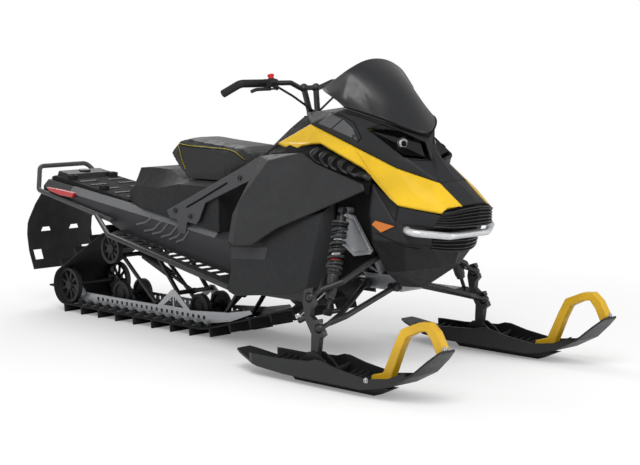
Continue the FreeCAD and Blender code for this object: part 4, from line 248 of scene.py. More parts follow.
node_materials = {
    "rubber": "track",
    "wheel": "rear_wheels idler_wheels drive_shaft",
    "rail": "slide_rails",
    "steel_black": "skid_arms running_boards upper_arms lower_arms spindle_right spindle_left handlebar",
    "steel_grey": "rear_bumper frame_braces",
    "steel": "tie_rod_right tie_rod_left",
    "tunnel": "tunnel",
    "flap": "snow_flap",
    "red": "tail_lamps",
    "orange": "marker_lamps",
    "deck": "cargo_deck console",
    "black_panel": "seat storage_box lower_panels engine",
    "black_smooth": "front_shocks controls handlebar_cables intake_ribs",
    "black_deep": "grilles",
    "side": "side_panel_right side_panel_left",
    "body": "hood nose_cone",
    "belly": "belly_pan",
    "yellow": "accent_panels",
    "yellow_loop": "ski_loop_right ski_loop_left",
    "lamp_glass": "headlamps",
    "bumper": "front_bumper",
    "screen": "windscreen",
    "cast": "bulkhead",
    "ski": "ski_right ski_left",
    "grip": "grips",
}
soft_edges = {
    0.003: "hood ski_right ski_left frame_braces",
    0.005: "side_panel_right side_panel_left belly_pan ski_loop_right ski_loop_left",
    0.006: "lower_panels",
    0.008: "console",
    0.012: "storage_box",
}
sharp_edge = 0.0012


# Modifiers that many pieces share
def soften(piece, width, degrees=28):
    """Rounds the edges that turn by more than an angle."""
    edge = piece.modifiers.new("edge", "BEVEL")
    edge.width = width
    edge.segments = 2
    edge.limit_method = "ANGLE"
    edge.angle_limit = math.radians(degrees)


def subdivide(piece, levels):
    smooth = piece.modifiers.new("smooth", "SUBSURF")
    smooth.levels = smooth.render_levels = levels


def thicken(piece, thickness, offset=0):
    wall = piece.modifiers.new("wall", "SOLIDIFY")
    wall.thickness = thickness
    wall.offset = offset


def crease(piece, depth_of):
    """Creases each edge as deep as a rule says."""
    made = bmesh.new()
    made.from_mesh(piece.data)
    layer = made.edges.layers.float.new("crease_edge")
    for edge in made.edges:
        edge[layer] = depth_of(edge)
    made.to_mesh(piece.data)
    made.free()


def dress_nodes():
    """Gives each node its material, merged corners and softened edges."""
    widths = {name: width for width, names in soft_edges.items() for name in names.split()}
    for material, names in node_materials.items():
        for name in names.split():
            piece = nodes[name]
            piece.data.materials.clear()
            piece.data.materials.append(mats[material])
            weld = piece.modifiers.new("weld", "WELD")
            weld.merge_threshold = 0.00002
            soften(piece, widths.get(name, sharp_edge))


dress_nodes()


# Camera: the photograph's place and angle, which also carry a detail from a pixel to the skin it lies on
photo_width, photo_height = 640, 465
focal_pixels = 1552.2
camera_place = Vector((5.30942, -4.64472, 1.28434))
camera_yaw, camera_pitch, camera_roll = 0.811613, 0.113143, -0.011451


def make_camera_turn():
    forward = Vector((-math.sin(camera_yaw) * math.cos(camera_pitch),
                      math.cos(camera_yaw) * math.cos(camera_pitch), -math.sin(camera_pitch)))
    level = forward.cross(Vector((0, 0, 1))).normalized()
    upright = level.cross(forward)
    right = level * math.cos(camera_roll) + upright * math.sin(camera_roll)
    up = upright * math.cos(camera_roll) - level * math.sin(camera_roll)
    return Matrix((right, up, -forward)).transposed()


camera_turn = make_camera_turn()


class Skin:
    """The surface of some nodes, for seating details on."""

    def __init__(self, *names):
        points, faces = [], []
        for name in names:
            mesh = nodes[name].data
            start = len(points)
            points += [vertex.co.copy() for vertex in mesh.vertices]
            faces += [tuple(start + index for index in face.vertices) for face in mesh.polygons]
        self.tree = BVHTree.FromPolygons(points, faces)

    def hit(self, start, direction):
        place, normal, _, _ = self.tree.ray_cast(start, direction)
        if place is None:
            return None
        return place, (normal if normal.dot(direction) < 0 else -normal)

    def pixel(self, x, y):
        """Where the photograph's ray through a pixel meets the skin, and the outward normal there."""
        ray = camera_turn @ Vector((x - photo_width / 2, photo_height / 2 - y, -focal_pixels))
        found = self.hit(camera_place, ray.normalized())
        if found is None:
            raise ValueError(f"no skin at pixel {x:.1f}, {y:.1f}")
        return found

    def line(self, pixels, step=4.0, lift=0.0006):
        """Places just over the skin along a line of pixels."""
        places = []
        for (ax, ay), (bx, by) in zip(pixels, pixels[1:]):
            count = max(1, round(math.hypot(bx - ax, by - ay) / step))
            for index in range(count):
                share = index / count
                place, normal = self.pixel(ax + (bx - ax) * share, ay + (by - ay) * share)
                places.append(place + normal * lift)
        place, normal = self.pixel(*pixels[-1])
        return places + [place + normal * lift]

    def plate(self, corners, cells, lift, sink=0.004):
        """A thin plate that follows the skin inside four pixels."""
        first, second, third, fourth = [Vector(corner) for corner in corners]
        shares = [index / cells for index in range(cells + 1)]
        pixels = [first.lerp(second, u).lerp(fourth.lerp(third, u), v) for v in shares for u in shares]
        hits = [self.pixel(*pixel) for pixel in pixels]
        wide, layer = cells + 1, len(hits)
        points = [place + normal * depth for depth in (lift, -sink) for place, normal in hits]
        quads = [(start, start + 1, start + wide + 1, start + wide)
                 for row in range(cells) for start in range(row * wide, row * wide + cells)]
        faces = quads + [tuple(layer + index for index in reversed(quad)) for quad in quads]
        rim = list(range(cells)) + list(range(cells, layer - 1, wide))
        rim += [layer - 1 - index for index in rim]
        for start, end in zip(rim, rim[1:] + rim[:1]):
            faces.append((start, layer + start, layer + end, end))
        return points, faces


# Shapes: each is a list of points and a list of faces
def other_side(places):
    return [Vector((place.x, -place.y, place.z)) for place in places]


def both_lines(lines):
    """The right-hand lines and their mirror images."""
    return lines + [other_side(line) for line in lines]


def whole_rows(rows):
    """Rows from the middle outwards, made whole across the middle."""
    return [other_side(row[:0:-1]) + row for row in rows]


def join_shapes(shapes):
    """One list of points and faces from several."""
    points, faces = [], []
    for more_points, more_faces in shapes:
        start = len(points)
        points += more_points
        faces += [tuple(start + index for index in face) for face in more_faces]
    return points, faces


def both_sides(shapes):
    """The right-hand shapes and their mirror images."""
    return shapes + [(other_side(points), [tuple(reversed(face)) for face in faces])
                     for points, faces in shapes]


def sheet(rows):
    """A grid of places."""
    wide = len(rows[0])
    points = [place for row in rows for place in row]
    faces = [(r * wide + c, r * wide + c + 1, (r + 1) * wide + c + 1, (r + 1) * wide + c)
             for r in range(len(rows) - 1) for c in range(wide - 1)]
    return points, faces


def skinned(rings):
    """A closed form over rings of as many places each."""
    count = len(rings[0])
    last = count * (len(rings) - 1)
    points = [place for ring in rings for place in ring]
    faces = [(low + index, low + (index + 1) % count, low + count + (index + 1) % count, low + count + index)
             for low in range(0, last, count) for index in range(count)]
    return points, faces + [tuple(reversed(range(count))), tuple(range(last, last + count))]


def strip(path, across, height, shares=None):
    """A bar along a path; across is half its width and height its upward step."""
    rings = []
    for place, share in zip(path, shares or [1.0] * len(path)):
        step = across * share
        rings.append((place - step, place + step, place + step * 0.7 + height, place - step * 0.7 + height))
    return skinned(rings)


def frame_of(axis):
    axis = Vector(axis).normalized()
    side = axis.orthogonal().normalized()
    return axis, side, axis.cross(side)


def turned_shape(centre, axis, rings, sides=32, lobes=0):
    """A turned form: each ring is a radius, a height along the axis and perhaps a depth of its lobes."""
    axis, side, up = frame_of(axis)
    turns = [2 * math.pi * index / sides for index in range(sides)]
    places = []
    for radius, height, *depth in rings:
        cuts = [1 - sum(depth) * (math.cos(lobes * turn) < 0) for turn in turns]
        places.append([centre + axis * height + (side * math.cos(turn) + up * math.sin(turn)) * (radius * cut)
                       for turn, cut in zip(turns, cuts)])
    return skinned(places)


def ring_shape(centre, axis, radius, length, lobes=0):
    """A round collar with chamfered rims, knurled where it has lobes."""
    profile = ((-0.5, 0.6), (-0.5, 0.94), (-0.38, 1.0), (0.38, 1.0), (0.5, 0.94), (0.5, 0.6))
    rings = [(radius * size, length * shift, 0.06) for shift, size in profile]
    return turned_shape(centre, axis, rings, 40, lobes)


def bolt_shape(place, axis, radius, height=None):
    """A flanged screw head with a sunk socket."""
    height = height or radius * 0.8
    profile = ((1.25, 0.0), (1.25, 0.22), (1.0, 0.3), (0.95, 0.95), (0.82, 1.0), (0.5, 1.0, 0.12),
               (0.42, 0.55, 0.12))
    rings = [(radius * size, height * rise, *depth) for size, rise, *depth in profile]
    return turned_shape(place, axis, rings, 20, 6)


def screws_on(skin, pixels, radius):
    """Screw heads where the photograph's rays through some pixels meet a skin, sunk in a little."""
    hits = [skin.pixel(*pixel) for pixel in pixels]
    return [bolt_shape(place - normal * 0.0005, normal, radius) for place, normal in hits]


# Pieces: each is a mesh or a curve that rides on a body of the frame
def add_piece(name, data, material, body):
    piece = bpy.data.objects.new(name, data)
    bpy.context.scene.collection.objects.link(piece)
    data.materials.append(mats[material])
    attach(piece, body)
    return piece


def mesh_piece(name, shapes, material, body="chassis", bevel=0.0, smooth=False):
    """Shapes in one mesh, with their edges softened where bevel asks for it."""
    points, faces = join_shapes(shapes)
    data = bpy.data.meshes.new(name)
    data.from_pydata([tuple(point) for point in points], [], faces)
    made = bmesh.new()
    made.from_mesh(data)
    bmesh.ops.recalc_face_normals(made, faces=made.faces)
    made.to_mesh(data)
    made.free()
    if smooth:
        data.shade_smooth()
    piece = add_piece(name, data, material, body)
    if bevel:
        soften(piece, bevel)
    return piece


def thick_piece(name, shapes, material, thickness):
    """Open sheets given a thickness."""
    piece = mesh_piece(name, shapes, material)
    thicken(piece, thickness)
    return piece


def curve_data(name, lines, steps, poly=False):
    """Smooth lines near the places given, or straight runs between them."""
    data = bpy.data.curves.new(name, "CURVE")
    data.dimensions = "3D"
    data.resolution_u = steps
    for line in lines:
        spline = data.splines.new("POLY" if poly else "NURBS")
        spline.points.add(len(line) - 1)
        for point, place in zip(spline.points, line):
            point.co = (*place, 1)
        if not poly:
            spline.order_u = 3
            spline.use_endpoint_u = True
    return data


def curve_piece(name, lines, radius, material, body="chassis", poly=False):
    """Round bars along lines, all in one piece."""
    data = curve_data(name, lines, 8, poly)
    data.bevel_depth = radius
    data.bevel_resolution = 4
    data.use_fill_caps = True
    return add_piece(name, data, material, body)


def cowl(x, y, z):
    """A place on the right-hand half of the cowl."""
    return Vector((0.2 + x, -0.4 * y, z))


def places_of(rows):
    return [[cowl(*place) for place in row] for row in rows]


# Windscreen: one smooth smoked sheet with a flat facet on each side, in a paler smoke that paints the light
# on the facets, and a black edge strip
screen_rows = (
    ((0.566, 0.0, 1.272), (0.565, 0.16, 1.265), (0.562, 0.28, 1.248),
     (0.557, 0.38, 1.23), (0.548, 0.47, 1.209), (0.52, 0.67, 1.15)),
    ((0.625, 0.0, 1.232), (0.616, 0.17, 1.226), (0.6, 0.285, 1.213),
     (0.58, 0.375, 1.199), (0.57, 0.405, 1.194), (0.53, 0.66, 1.138)),
    ((0.71, 0.0, 1.165), (0.69, 0.18, 1.16), (0.66, 0.29, 1.154),
     (0.62, 0.367, 1.148), (0.574, 0.455, 1.16), (0.545, 0.63, 1.125)),
    ((0.785, 0.0, 1.075), (0.756, 0.195, 1.078), (0.714, 0.31, 1.087),
     (0.658, 0.375, 1.096), (0.577, 0.495, 1.128), (0.56, 0.575, 1.106)),
    ((0.858, 0.0, 0.9588), (0.815, 0.22, 0.9888), (0.765, 0.37, 1.026),
     (0.705, 0.411, 1.043), (0.605, 0.48, 1.072), (0.575, 0.5, 1.08)),
)
facet_columns = {3, 4}


def screen_cells(indices):
    """The rows of some corners of the sheet, and their columns counted from the middle."""
    middle = len(screen_rows[0]) - 1
    cells = [divmod(index, 2 * middle + 1) for index in indices]
    return {row for row, _ in cells}, {abs(column - middle) for _, column in cells}


def screen_crease(edge):
    rows, columns = screen_cells(vertex.index for vertex in edge.verts)
    if edge.is_boundary:
        return 1.0
    if len(columns) == 1 and columns <= facet_columns and 0 not in rows:
        return 0.95
    return 0.3 if rows == {1} and max(columns) <= 3 else 0.0


def make_windscreen():
    right = places_of(screen_rows)
    screen = mesh_piece("windscreen_sheet", [sheet(whole_rows(right))], "screen", smooth=True)
    crease(screen, screen_crease)
    # The facets take the paler smoke: painted light on them.
    screen.data.materials.append(mats["screen_facet"])
    for face in screen.data.polygons:
        rows, columns = screen_cells(face.vertices)
        face.material_index = int(columns == facet_columns and 0 not in rows)
    subdivide(screen, 3)
    thicken(screen, 0.004, 1)
    soften(screen, 0.0014, 50)
    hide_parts("windscreen")
    base = [place + Vector((0.003, 0, -0.001)) for place in right[-1]]
    curve_piece("windscreen_gasket", both_lines([base]), 0.0042, "black_deep")


make_windscreen()


# Seat: a padded cover, swollen by simulation, with stitched seams along its upper and rear edges
seat_voxel = seat_shrink = 0.006
seat_pressure, seat_frames, seat_cap, seat_base_height = 2.0, 16, 0.006, 0.03
seat_middle = Vector((-0.15, 0, 0.8))
seat_seam_pixels = (
    ((178.5, 144.5), (190, 147.2), (210, 148.2), (227, 149.5), (238, 154.5), (246, 161.5)),
    ((178.5, 145.5), (181.5, 158.0), (186.0, 171.5)),
)
seam_step = 0.008
stitch_length, stitch_radius = 0.0066, 0.0011
stitch_rise, stitch_lift = Vector((0, 0, 0.0055)), 0.0008


def remeshed(source, name, voxel, shrink):
    """A fine copy of a solid, drawn in a little along its normals."""
    piece = bpy.data.objects.new(name, source.data.copy())
    bpy.context.scene.collection.objects.link(piece)
    grid = piece.modifiers.new("grid", "REMESH")
    grid.mode = "VOXEL"
    grid.voxel_size = voxel
    even = piece.modifiers.new("even", "SMOOTH")
    even.factor = 0.5
    even.iterations = 6
    bpy.context.view_layer.update()
    settled = bpy.data.meshes.new_from_object(piece.evaluated_get(bpy.context.evaluated_depsgraph_get()))
    piece.modifiers.clear()
    piece.data = settled
    for vertex in settled.vertices:
        vertex.co = vertex.co - vertex.normal * shrink
    return piece


def simulated_steps(piece, pressure, frames):
    """How far cloth under pressure moves each point."""
    start = [vertex.co.copy() for vertex in piece.data.vertices]
    cloth = piece.modifiers.new("cloth", "CLOTH")
    cloth.settings.use_pressure = True
    cloth.settings.uniform_pressure_force = pressure
    cloth.settings.effector_weights.gravity = 0
    cloth.settings.quality = 6
    cloth.settings.tension_stiffness = 25
    cloth.settings.compression_stiffness = 25
    cloth.settings.bending_stiffness = 2
    cloth.point_cache.frame_start = 1
    cloth.point_cache.frame_end = frames
    for number in range(1, frames + 1):
        bpy.context.scene.frame_set(number)
    settled = piece.evaluated_get(bpy.context.evaluated_depsgraph_get()).to_mesh()
    ends = [vertex.co.copy() for vertex in settled.vertices]
    piece.modifiers.clear()
    bpy.context.scene.frame_set(1)
    return [new - old for old, new in zip(start, ends)]


def swell(piece, steps, rounds, cap, base_height):
    """Moves points by steps evened over their neighbours, up to a cap, and not at all at the base."""
    around = [[] for _ in steps]
    for edge in piece.data.edges:
        first, second = edge.vertices
        around[first].append(second)
        around[second].append(first)
    for _ in range(rounds):
        steps = [(step + sum((steps[other] for other in near), Vector())) / (len(near) + 1)
                 for step, near in zip(steps, around)]
    low = min(vertex.co.z for vertex in piece.data.vertices)
    for vertex, step in zip(piece.data.vertices, steps):
        free = min(1.0, max(0.0, (vertex.co.z - low) / base_height))
        vertex.co += step * min(1.0, cap / max(step.length, cap)) * free


def spread_points(route, spacing):
    """Even steps along a smooth line near the places given."""
    holder = bpy.data.objects.new("route", curve_data("route", [route], 24))
    places = [vertex.co.copy() for vertex in bpy.data.meshes.new_from_object(holder).vertices]
    bpy.data.objects.remove(holder)
    out, carry = [places[0]], 0.0
    for before, after in zip(places, places[1:]):
        run = (after - before).length
        while carry + run >= spacing:
            before = before.lerp(after, (spacing - carry) / run)
            run = (after - before).length
            carry = 0.0
            out.append(before)
        carry += run
    return out


def stitch_shape(place, along, normal):
    """One thread stitch: a short bar that dips into the cover at both ends."""
    across = along.cross(normal).normalized()
    turns = [math.pi * side / 3 for side in range(6)]
    rings = []
    for forward, lift, size in ((-0.5, -0.6, 0.5), (-0.3, 0.4, 1.0), (0.3, 0.4, 1.0), (0.5, -0.6, 0.5)):
        centre = place + along * (forward * stitch_length) + normal * (lift * stitch_radius)
        rings.append([centre + (normal * math.sin(turn) + across * math.cos(turn)) * (stitch_radius * size)
                      for turn in turns])
    return skinned(rings)


def seam_on(tree, route):
    """Places and normals along a seam, just over the cover."""
    line = []
    for place in spread_points(route, seam_step):
        near, normal, _, _ = tree.find_nearest(place)
        if normal.dot(near - seat_middle) < 0:
            normal = -normal
        line.append((near + normal * 0.0005, normal))
    return line


def make_seams(seat):
    tree = BVHTree.FromPolygons([vertex.co.copy() for vertex in seat.data.vertices],
                                [tuple(face.vertices) for face in seat.data.polygons])
    cover = Skin("seat")
    stitches, seams = [], []
    for route in both_lines([cover.line(pixels, 9.0, 0.0) for pixels in seat_seam_pixels]):
        line = seam_on(tree, route)
        seams.append([place for place, _ in line])
        for (place, normal), (after, _) in zip(line, line[1:]):
            middle = (place + after) / 2 + stitch_rise + normal * stitch_lift
            stitches.append(stitch_shape(middle, (after - place).normalized(), normal))
    mesh_piece("seat_stitching", stitches, "thread", smooth=True)
    curve_piece("seat_seams", seams, 0.0016, "black_deep", poly=True)


def make_seat():
    seat = remeshed(nodes["seat"], "seat_cover", seat_voxel, seat_shrink)
    swell(seat, simulated_steps(seat, seat_pressure, seat_frames), 14, seat_cap, seat_base_height)
    seat.data.materials.clear()
    seat.data.materials.append(mats["seat_cover"])
    seat.data.shade_smooth()
    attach(seat, "chassis")
    subdivide(seat, 1)
    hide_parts("seat")
    make_seams(seat)


make_seat()


# Springs: black coils over the bright shock bodies, each with its collars and adjuster ring
shock_top = Vector((0.846, -0.282, 0.664))
shock_foot = Vector((0.89, -0.414, 0.268))
spring_high, spring_low = 0.13, 0.56
spring_radius, spring_wire, spring_turns, turn_steps = 0.0285, 0.0058, 6, 16
collar_places = ((0.125, 0.0345, 0.01), (0.565, 0.0345, 0.01), (0.6, 0.0265, 0.024), (0.73, 0.0225, 0.09),
                 (0.845, 0.0185, 0.02))
sleeve_places = ((0.24, 0.0208, 0.055), (0.41, 0.0208, 0.045))
adjuster_places = ((0.5, 0.0222, 0.016),)


def along_shock(share):
    return shock_top.lerp(shock_foot, share)


def shock_rings(places, lobes=0):
    axis = shock_foot - shock_top
    return both_sides([ring_shape(along_shock(share), axis, radius, length, lobes)
                       for share, radius, length in places])


def make_springs():
    _, side, up = frame_of(shock_foot - shock_top)
    coil = []
    for index in range(spring_turns * turn_steps + 1):
        turn = 2 * math.pi * index / turn_steps
        share = 0.035 + 0.93 * index / (spring_turns * turn_steps)
        centre = along_shock(spring_high + (spring_low - spring_high) * share)
        coil.append(centre + (side * math.cos(turn) + up * math.sin(turn)) * spring_radius)
    curve_piece("shock_springs", both_lines([coil]), spring_wire, "steel_black", poly=True)
    mesh_piece("shock_collars", shock_rings(collar_places), "steel_black")
    mesh_piece("shock_sleeves", shock_rings(sleeve_places), "steel", smooth=True)
    mesh_piece("shock_adjusters", shock_rings(adjuster_places, 10), "red_plastic")


make_springs()


# Cowl: side vents with their latches, the raised pads on the lower panels, in a paler grey that paints light
# on them, and the seams
skin = Skin("hood", "nose_cone", "accent_panels", "side_panel_right", "lower_panels", "belly_pan", "console",
            "headlamps", "grilles", "marker_lamps")
vent_pixels = (
    ((318.3, 123.3), (330.0, 113.6), (342.2, 118.9), (331.1, 128.5)),
    ((332.6, 129.0), (343.6, 119.6), (353.0, 128.6), (357.0, 140.0)),
)
pad_pixels = ((231.5, 246.5), (268, 247), (265.5, 260), (232, 258.5))
latch_pixel = (353.5, 136.5)
vent_outline_pixels = ((332, 112.4), (344, 116.5), (354, 122.5), (361.5, 138.0), (357.5, 142.5))
lamp_brow_pixels = ((369.5, 131), (381, 129.5), (387, 131), (396, 130.5), (408, 134.5))
lamp_rear_pixels = ((369.5, 131), (376, 134.5), (385, 139.5), (392, 148), (405, 157), (413, 160), (432, 161))
screen_line_pixels = ((345, 112.5), (360, 117), (374, 122), (396, 129), (414, 137))
belly_line_pixels = ((376, 233), (404, 246), (420, 249))


def make_cowl_details():
    vents = [skin.plate(corners, 8, 0.0016) for corners in vent_pixels]
    mesh_piece("hood_vents", both_sides(vents), "vent")
    # The pads are paler grey than the panel: painted light on the lower panels.
    mesh_piece("lower_panel_light_pads", both_sides([skin.plate(pad_pixels, 6, 0.0022)]), "grey_side", bevel=0.001)
    place, normal = skin.pixel(*latch_pixel)
    latches = both_sides([bolt_shape(place, normal, 0.008, 0.004)])
    mesh_piece("vent_latches", latches, "black_gloss")
    lines = [skin.line(pixels) for pixels in (vent_outline_pixels, lamp_brow_pixels, lamp_rear_pixels,
                                              screen_line_pixels, belly_line_pixels)]
    curve_piece("cowl_seams", both_lines(lines), 0.0016, "black_deep", poly=True)


make_cowl_details()


# Shade liners: near-black inner sheets that close the cowl behind its panels, painted shade where the gaps
# between panels look into shadow
notch_shade_liner = (
    ((0.15, 0.46, 0.905), (0.26, 0.47, 0.935), (0.345, 0.48, 0.935),
     (0.461, 0.48, 0.925), (0.6, 0.48, 0.88), (0.735, 0.48, 0.82)),
    ((0.15, 0.6, 0.87), (0.26, 0.6, 0.885), (0.345, 0.62, 0.88),
     (0.461, 0.62, 0.875), (0.6, 0.6, 0.83), (0.752, 0.57, 0.77)),
    ((0.15, 0.7, 0.84), (0.26, 0.71, 0.84), (0.345, 0.71, 0.84),
     (0.461, 0.7, 0.83), (0.6, 0.67, 0.78), (0.76, 0.62, 0.73)),
)
fender_shade_liner = (
    ((0.44, 0.72, 0.74), (0.6, 0.63, 0.745), (0.69, 0.57, 0.76), (0.765, 0.52, 0.765)),
    ((0.52, 0.72, 0.64), (0.6, 0.6, 0.64), (0.69, 0.545, 0.65), (0.79, 0.53, 0.65)),
    ((0.56, 0.66, 0.5), (0.62, 0.58, 0.5), (0.7, 0.54, 0.51), (0.8, 0.53, 0.56)),
    ((0.56, 0.66, 0.37), (0.62, 0.58, 0.36), (0.68, 0.54, 0.4), (0.76, 0.52, 0.5)),
)
console_shade_liner = (
    ((0.222, 0.235, 1.028), (0.335, 0.24, 1.046)),
    ((0.27, 0.34, 1.008), (0.34, 0.33, 1.026)),
    ((0.325, 0.445, 0.984), (0.35, 0.42, 1.000)),
)
lamp_back_shade_liner = (
    ((0.64, 0.36, 0.94), (0.74, 0.22, 0.94), (0.79, 0.0, 0.915)),
    ((0.7, 0.36, 0.88), (0.82, 0.22, 0.875), (0.87, 0.0, 0.855)),
    ((0.79, 0.36, 0.82), (0.89, 0.2, 0.815), (0.925, 0.0, 0.795)),
)
nose_shade_liner = (
    ((1.12, 0.0, 0.704), (1.101, 0.183, 0.697), (1.064, 0.362, 0.676)),
    ((1.122, 0.0, 0.684), (1.096, 0.19, 0.676), (1.058, 0.36, 0.652)),
)
side_shade_liner = (
    ((0.34, 0.675, 0.67), (0.46, 0.675, 0.7), (0.57, 0.66, 0.73)),
    ((0.34, 0.675, 0.59), (0.46, 0.675, 0.59), (0.57, 0.66, 0.59)),
)


def make_shade_liners():
    shade_liners = (notch_shade_liner, fender_shade_liner, console_shade_liner, lamp_back_shade_liner, nose_shade_liner, side_shade_liner)
    # Near-black sheets: painted shade in the gaps that look into the cowl's shadowed inside.
    thick_piece("cowl_shade_liners", both_sides([sheet(places_of(rows)) for rows in shade_liners]), "black_deep", 0.003)


make_shade_liners()


# Intake fins: smooth slats that come out from under each bright band and tuck in at the side panel
fin_places = (
    ((0.456, 0.5125, 0.9415), (0.433, 0.655, 0.888), (0.477, 0.7125, 0.85)),
    ((0.506, 0.5125, 0.926), (0.489, 0.655, 0.883), (0.516, 0.7125, 0.84)),
    ((0.552, 0.5125, 0.912), (0.542, 0.655, 0.865), (0.559, 0.7, 0.828)),
    ((0.6, 0.5125, 0.8985), (0.597, 0.655, 0.849), (0.617, 0.68, 0.815)),
    ((0.654, 0.5125, 0.8755), (0.651, 0.655, 0.829), (0.668, 0.66, 0.802)),
    ((0.705, 0.5125, 0.8513), (0.705, 0.655, 0.811), (0.722, 0.64, 0.796)),
)
fin_half_width = 0.0135
fin_shares = (0.9, 1.0, 1.0, 1.0, 1.0, 0.9, 0.8)


def fin_shape(top, bulge, end):
    """A rounded slat: a closed box of rings along a bent path."""
    path = [top + Vector((-0.004, 0.034, -0.02)), top + Vector((-0.006, 0.006, -0.024)),
            top.lerp(bulge, 0.55) + Vector((-0.004, -0.002, -0.01)), bulge + Vector((0, 0.003, -0.006)),
            bulge.lerp(end, 0.6) + Vector((0.004, 0.002, -0.002)), end + Vector((0.012, 0.012, -0.008)),
            end + Vector((0.018, 0.03, -0.022))]
    rings = []
    for index, (place, share) in enumerate(zip(path, fin_shares)):
        ahead = path[min(index + 1, len(path) - 1)] - path[max(index - 1, 0)]
        inward = Vector((1, 0, 0)).cross(ahead).normalized()
        if inward.y < 0:
            inward = -inward
        half = Vector((fin_half_width * share, 0, 0))
        rings.append([place - half, place + half * 0.9 + inward * 0.006, place + half * 0.7 + inward * 0.034,
                      place - half * 0.9 + inward * 0.03])
    return skinned(rings)


def fin_crease(edge):
    along = (edge.verts[0].co - edge.verts[1].co).normalized()
    return 0.72 if abs(along.x) < 0.5 else 0.0


def make_fins():
    fins = both_sides([fin_shape(*places) for places in places_of(fin_places)])
    piece = mesh_piece("intake_fins", fins, "black_smooth", smooth=True)
    crease(piece, fin_crease)
    subdivide(piece, 2)
    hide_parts("intake_ribs")


make_fins()


# Nose: the centre panel between the bright bands
nose_rows = (
    ((0.95, 0.0, 0.812), (0.955, 0.1, 0.806), (0.985, 0.185, 0.783)),
    ((1.012, 0.0, 0.778), (1.01, 0.1, 0.774), (1.000, 0.192, 0.77)),
    ((1.075, 0.0, 0.736), (1.068, 0.1, 0.732), (1.055, 0.185, 0.727)),
    ((1.122, 0.0, 0.7), (1.117, 0.1, 0.698), (1.103, 0.178, 0.694)),
)
thick_piece("nose_centre", [sheet(whole_rows(places_of(nose_rows)))], "body", 0.004)


# Grilles: the louvred openings above and below the bumper, wider than their insets, with near-black back
# sheets of painted shade behind the louvres
upper_grille = (((1.068, 0.366, 0.668), (1.091, 0.29, 0.672), (1.112, 0.19, 0.682), (1.128, 0.0, 0.689)),
                ((1.034, 0.41, 0.616), (1.08, 0.32, 0.613), (1.102, 0.19, 0.612), (1.114, 0.0, 0.612)))
lower_grille = (((1.012, 0.352, 0.588), (1.04, 0.26, 0.59), (1.062, 0.14, 0.592), (1.078, 0.0, 0.593)),
                ((0.992, 0.335, 0.52), (1.018, 0.22, 0.512), (1.034, 0.12, 0.508), (1.042, 0.0, 0.506)))
bar_count = 5


def grille_line(rows, share, ahead=0.0):
    """A line across the nose, a share of the way down the grille."""
    half = [high.lerp(low, share) + Vector((ahead, 0, 0)) for high, low in zip(*places_of(rows))]
    return half + other_side(half[-2::-1])


def make_grilles():
    sheets, bars, rims = [], [], []
    for rows in (upper_grille, lower_grille):
        sheets.append(sheet([grille_line(rows, share) for share in (0.0, 0.5, 1.0)]))
        for index in range(bar_count):
            path = grille_line(rows, (index + 0.7) / (bar_count + 0.4), 0.001)
            bars.append(strip(path[:1] + path + path[-1:], Vector((0, 0, 0.0026)), Vector((0.006, 0, 0.001)),
                              [0.4] + [1.0] * len(path) + [0.4]))
        rims += [grille_line(rows, share, 0.002) for share in (0.0, 1.0)]
    # The back sheets are near-black: painted shade seen through the louvres.
    shade_backs = thick_piece("grille_shade_backs", sheets, "black_deep", 0.004)
    louvres = mesh_piece("grille_bars", bars, "black_gloss")
    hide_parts("grilles")
    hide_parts("grilles")
    curve_piece("grille_rims", rims, 0.004, "black_smooth", poly=True)


make_grilles()


# Headlamps: a near-black bucket behind each lens, painted shade, and a ribbed projector in it
lamp_corners = ((0.686, 0.411, 0.983), (0.794, 0.25, 0.974), (0.85, 0.09, 0.93), (0.88, 0.11, 0.876),
                (0.846, 0.335, 0.89))
projector_pixel = (403.5, 144.0)
projector_rings = ((0.0215, 0.0), (0.0215, 0.004), (0.02, 0.0055), (0.019, 0.0035), (0.0175, 0.0035),
                   (0.0165, 0.006), (0.0155, 0.004), (0.014, 0.004), (0.013, 0.0065), (0.012, 0.004),
                   (0.0105, 0.003))
pupil_rings = ((0.0112, 0.002), (0.0112, 0.005), (0.0095, 0.0072), (0.006, 0.0088), (0.0025, 0.0094))
bucket_size, bucket_back, bucket_depth = 1.24, Vector((-0.03, 0.006, -0.024)), Vector((-0.07, 0.01, -0.03))
projector_lean = Vector((0.9, 0, 0))
bezel_rings = ((0.03, -0.004), (0.03, 0.003), (0.0275, 0.0045), (0.024, 0.0045), (0.0232, 0.002))


def make_lamps():
    corners = [cowl(*place) for place in lamp_corners]
    middle = sum(corners, Vector()) / len(corners)
    points = [middle.lerp(corner, bucket_size) + bucket_back for corner in corners]
    faces = [(index, (index + 1) % len(corners), len(corners)) for index in range(len(corners))]
    shade_bucket = points + [middle + bucket_depth], faces
    # The bucket is near-black: painted shade behind the lens.
    thick_piece("lamp_shade_buckets", both_sides([shade_bucket]), "black_deep", 0.003)
    place, normal = Skin("headlamps").pixel(*projector_pixel)
    axis = (normal + projector_lean).normalized()
    for name, rings, material, slot in (("lamp_projectors", projector_rings, "cast", "lamp_lens"),
                                        ("lamp_pupils", pupil_rings, "lamp_glass", "lamp_lens"),
                                        ("lamp_bezels", bezel_rings, "black_gloss", "black_gloss")):
        mesh_piece(name, both_sides([turned_shape(place, axis, rings)]), material, smooth=True)


make_lamps()


# Casting: the bright triangular plate behind each front shock
casting_outline = ((0.82, 0.655), (0.868, 0.64), (0.968, 0.508), (0.955, 0.49), (0.872, 0.476),
                   (0.8, 0.52))
casting_y = -0.246
casting_thickness, casting_depth = 0.016, 0.007
casting_rim, casting_floor, casting_bolt_ring = 0.8, 0.74, 0.9
casting_bolt_corners, casting_bolt_radius = (0, 2, 5), 0.007


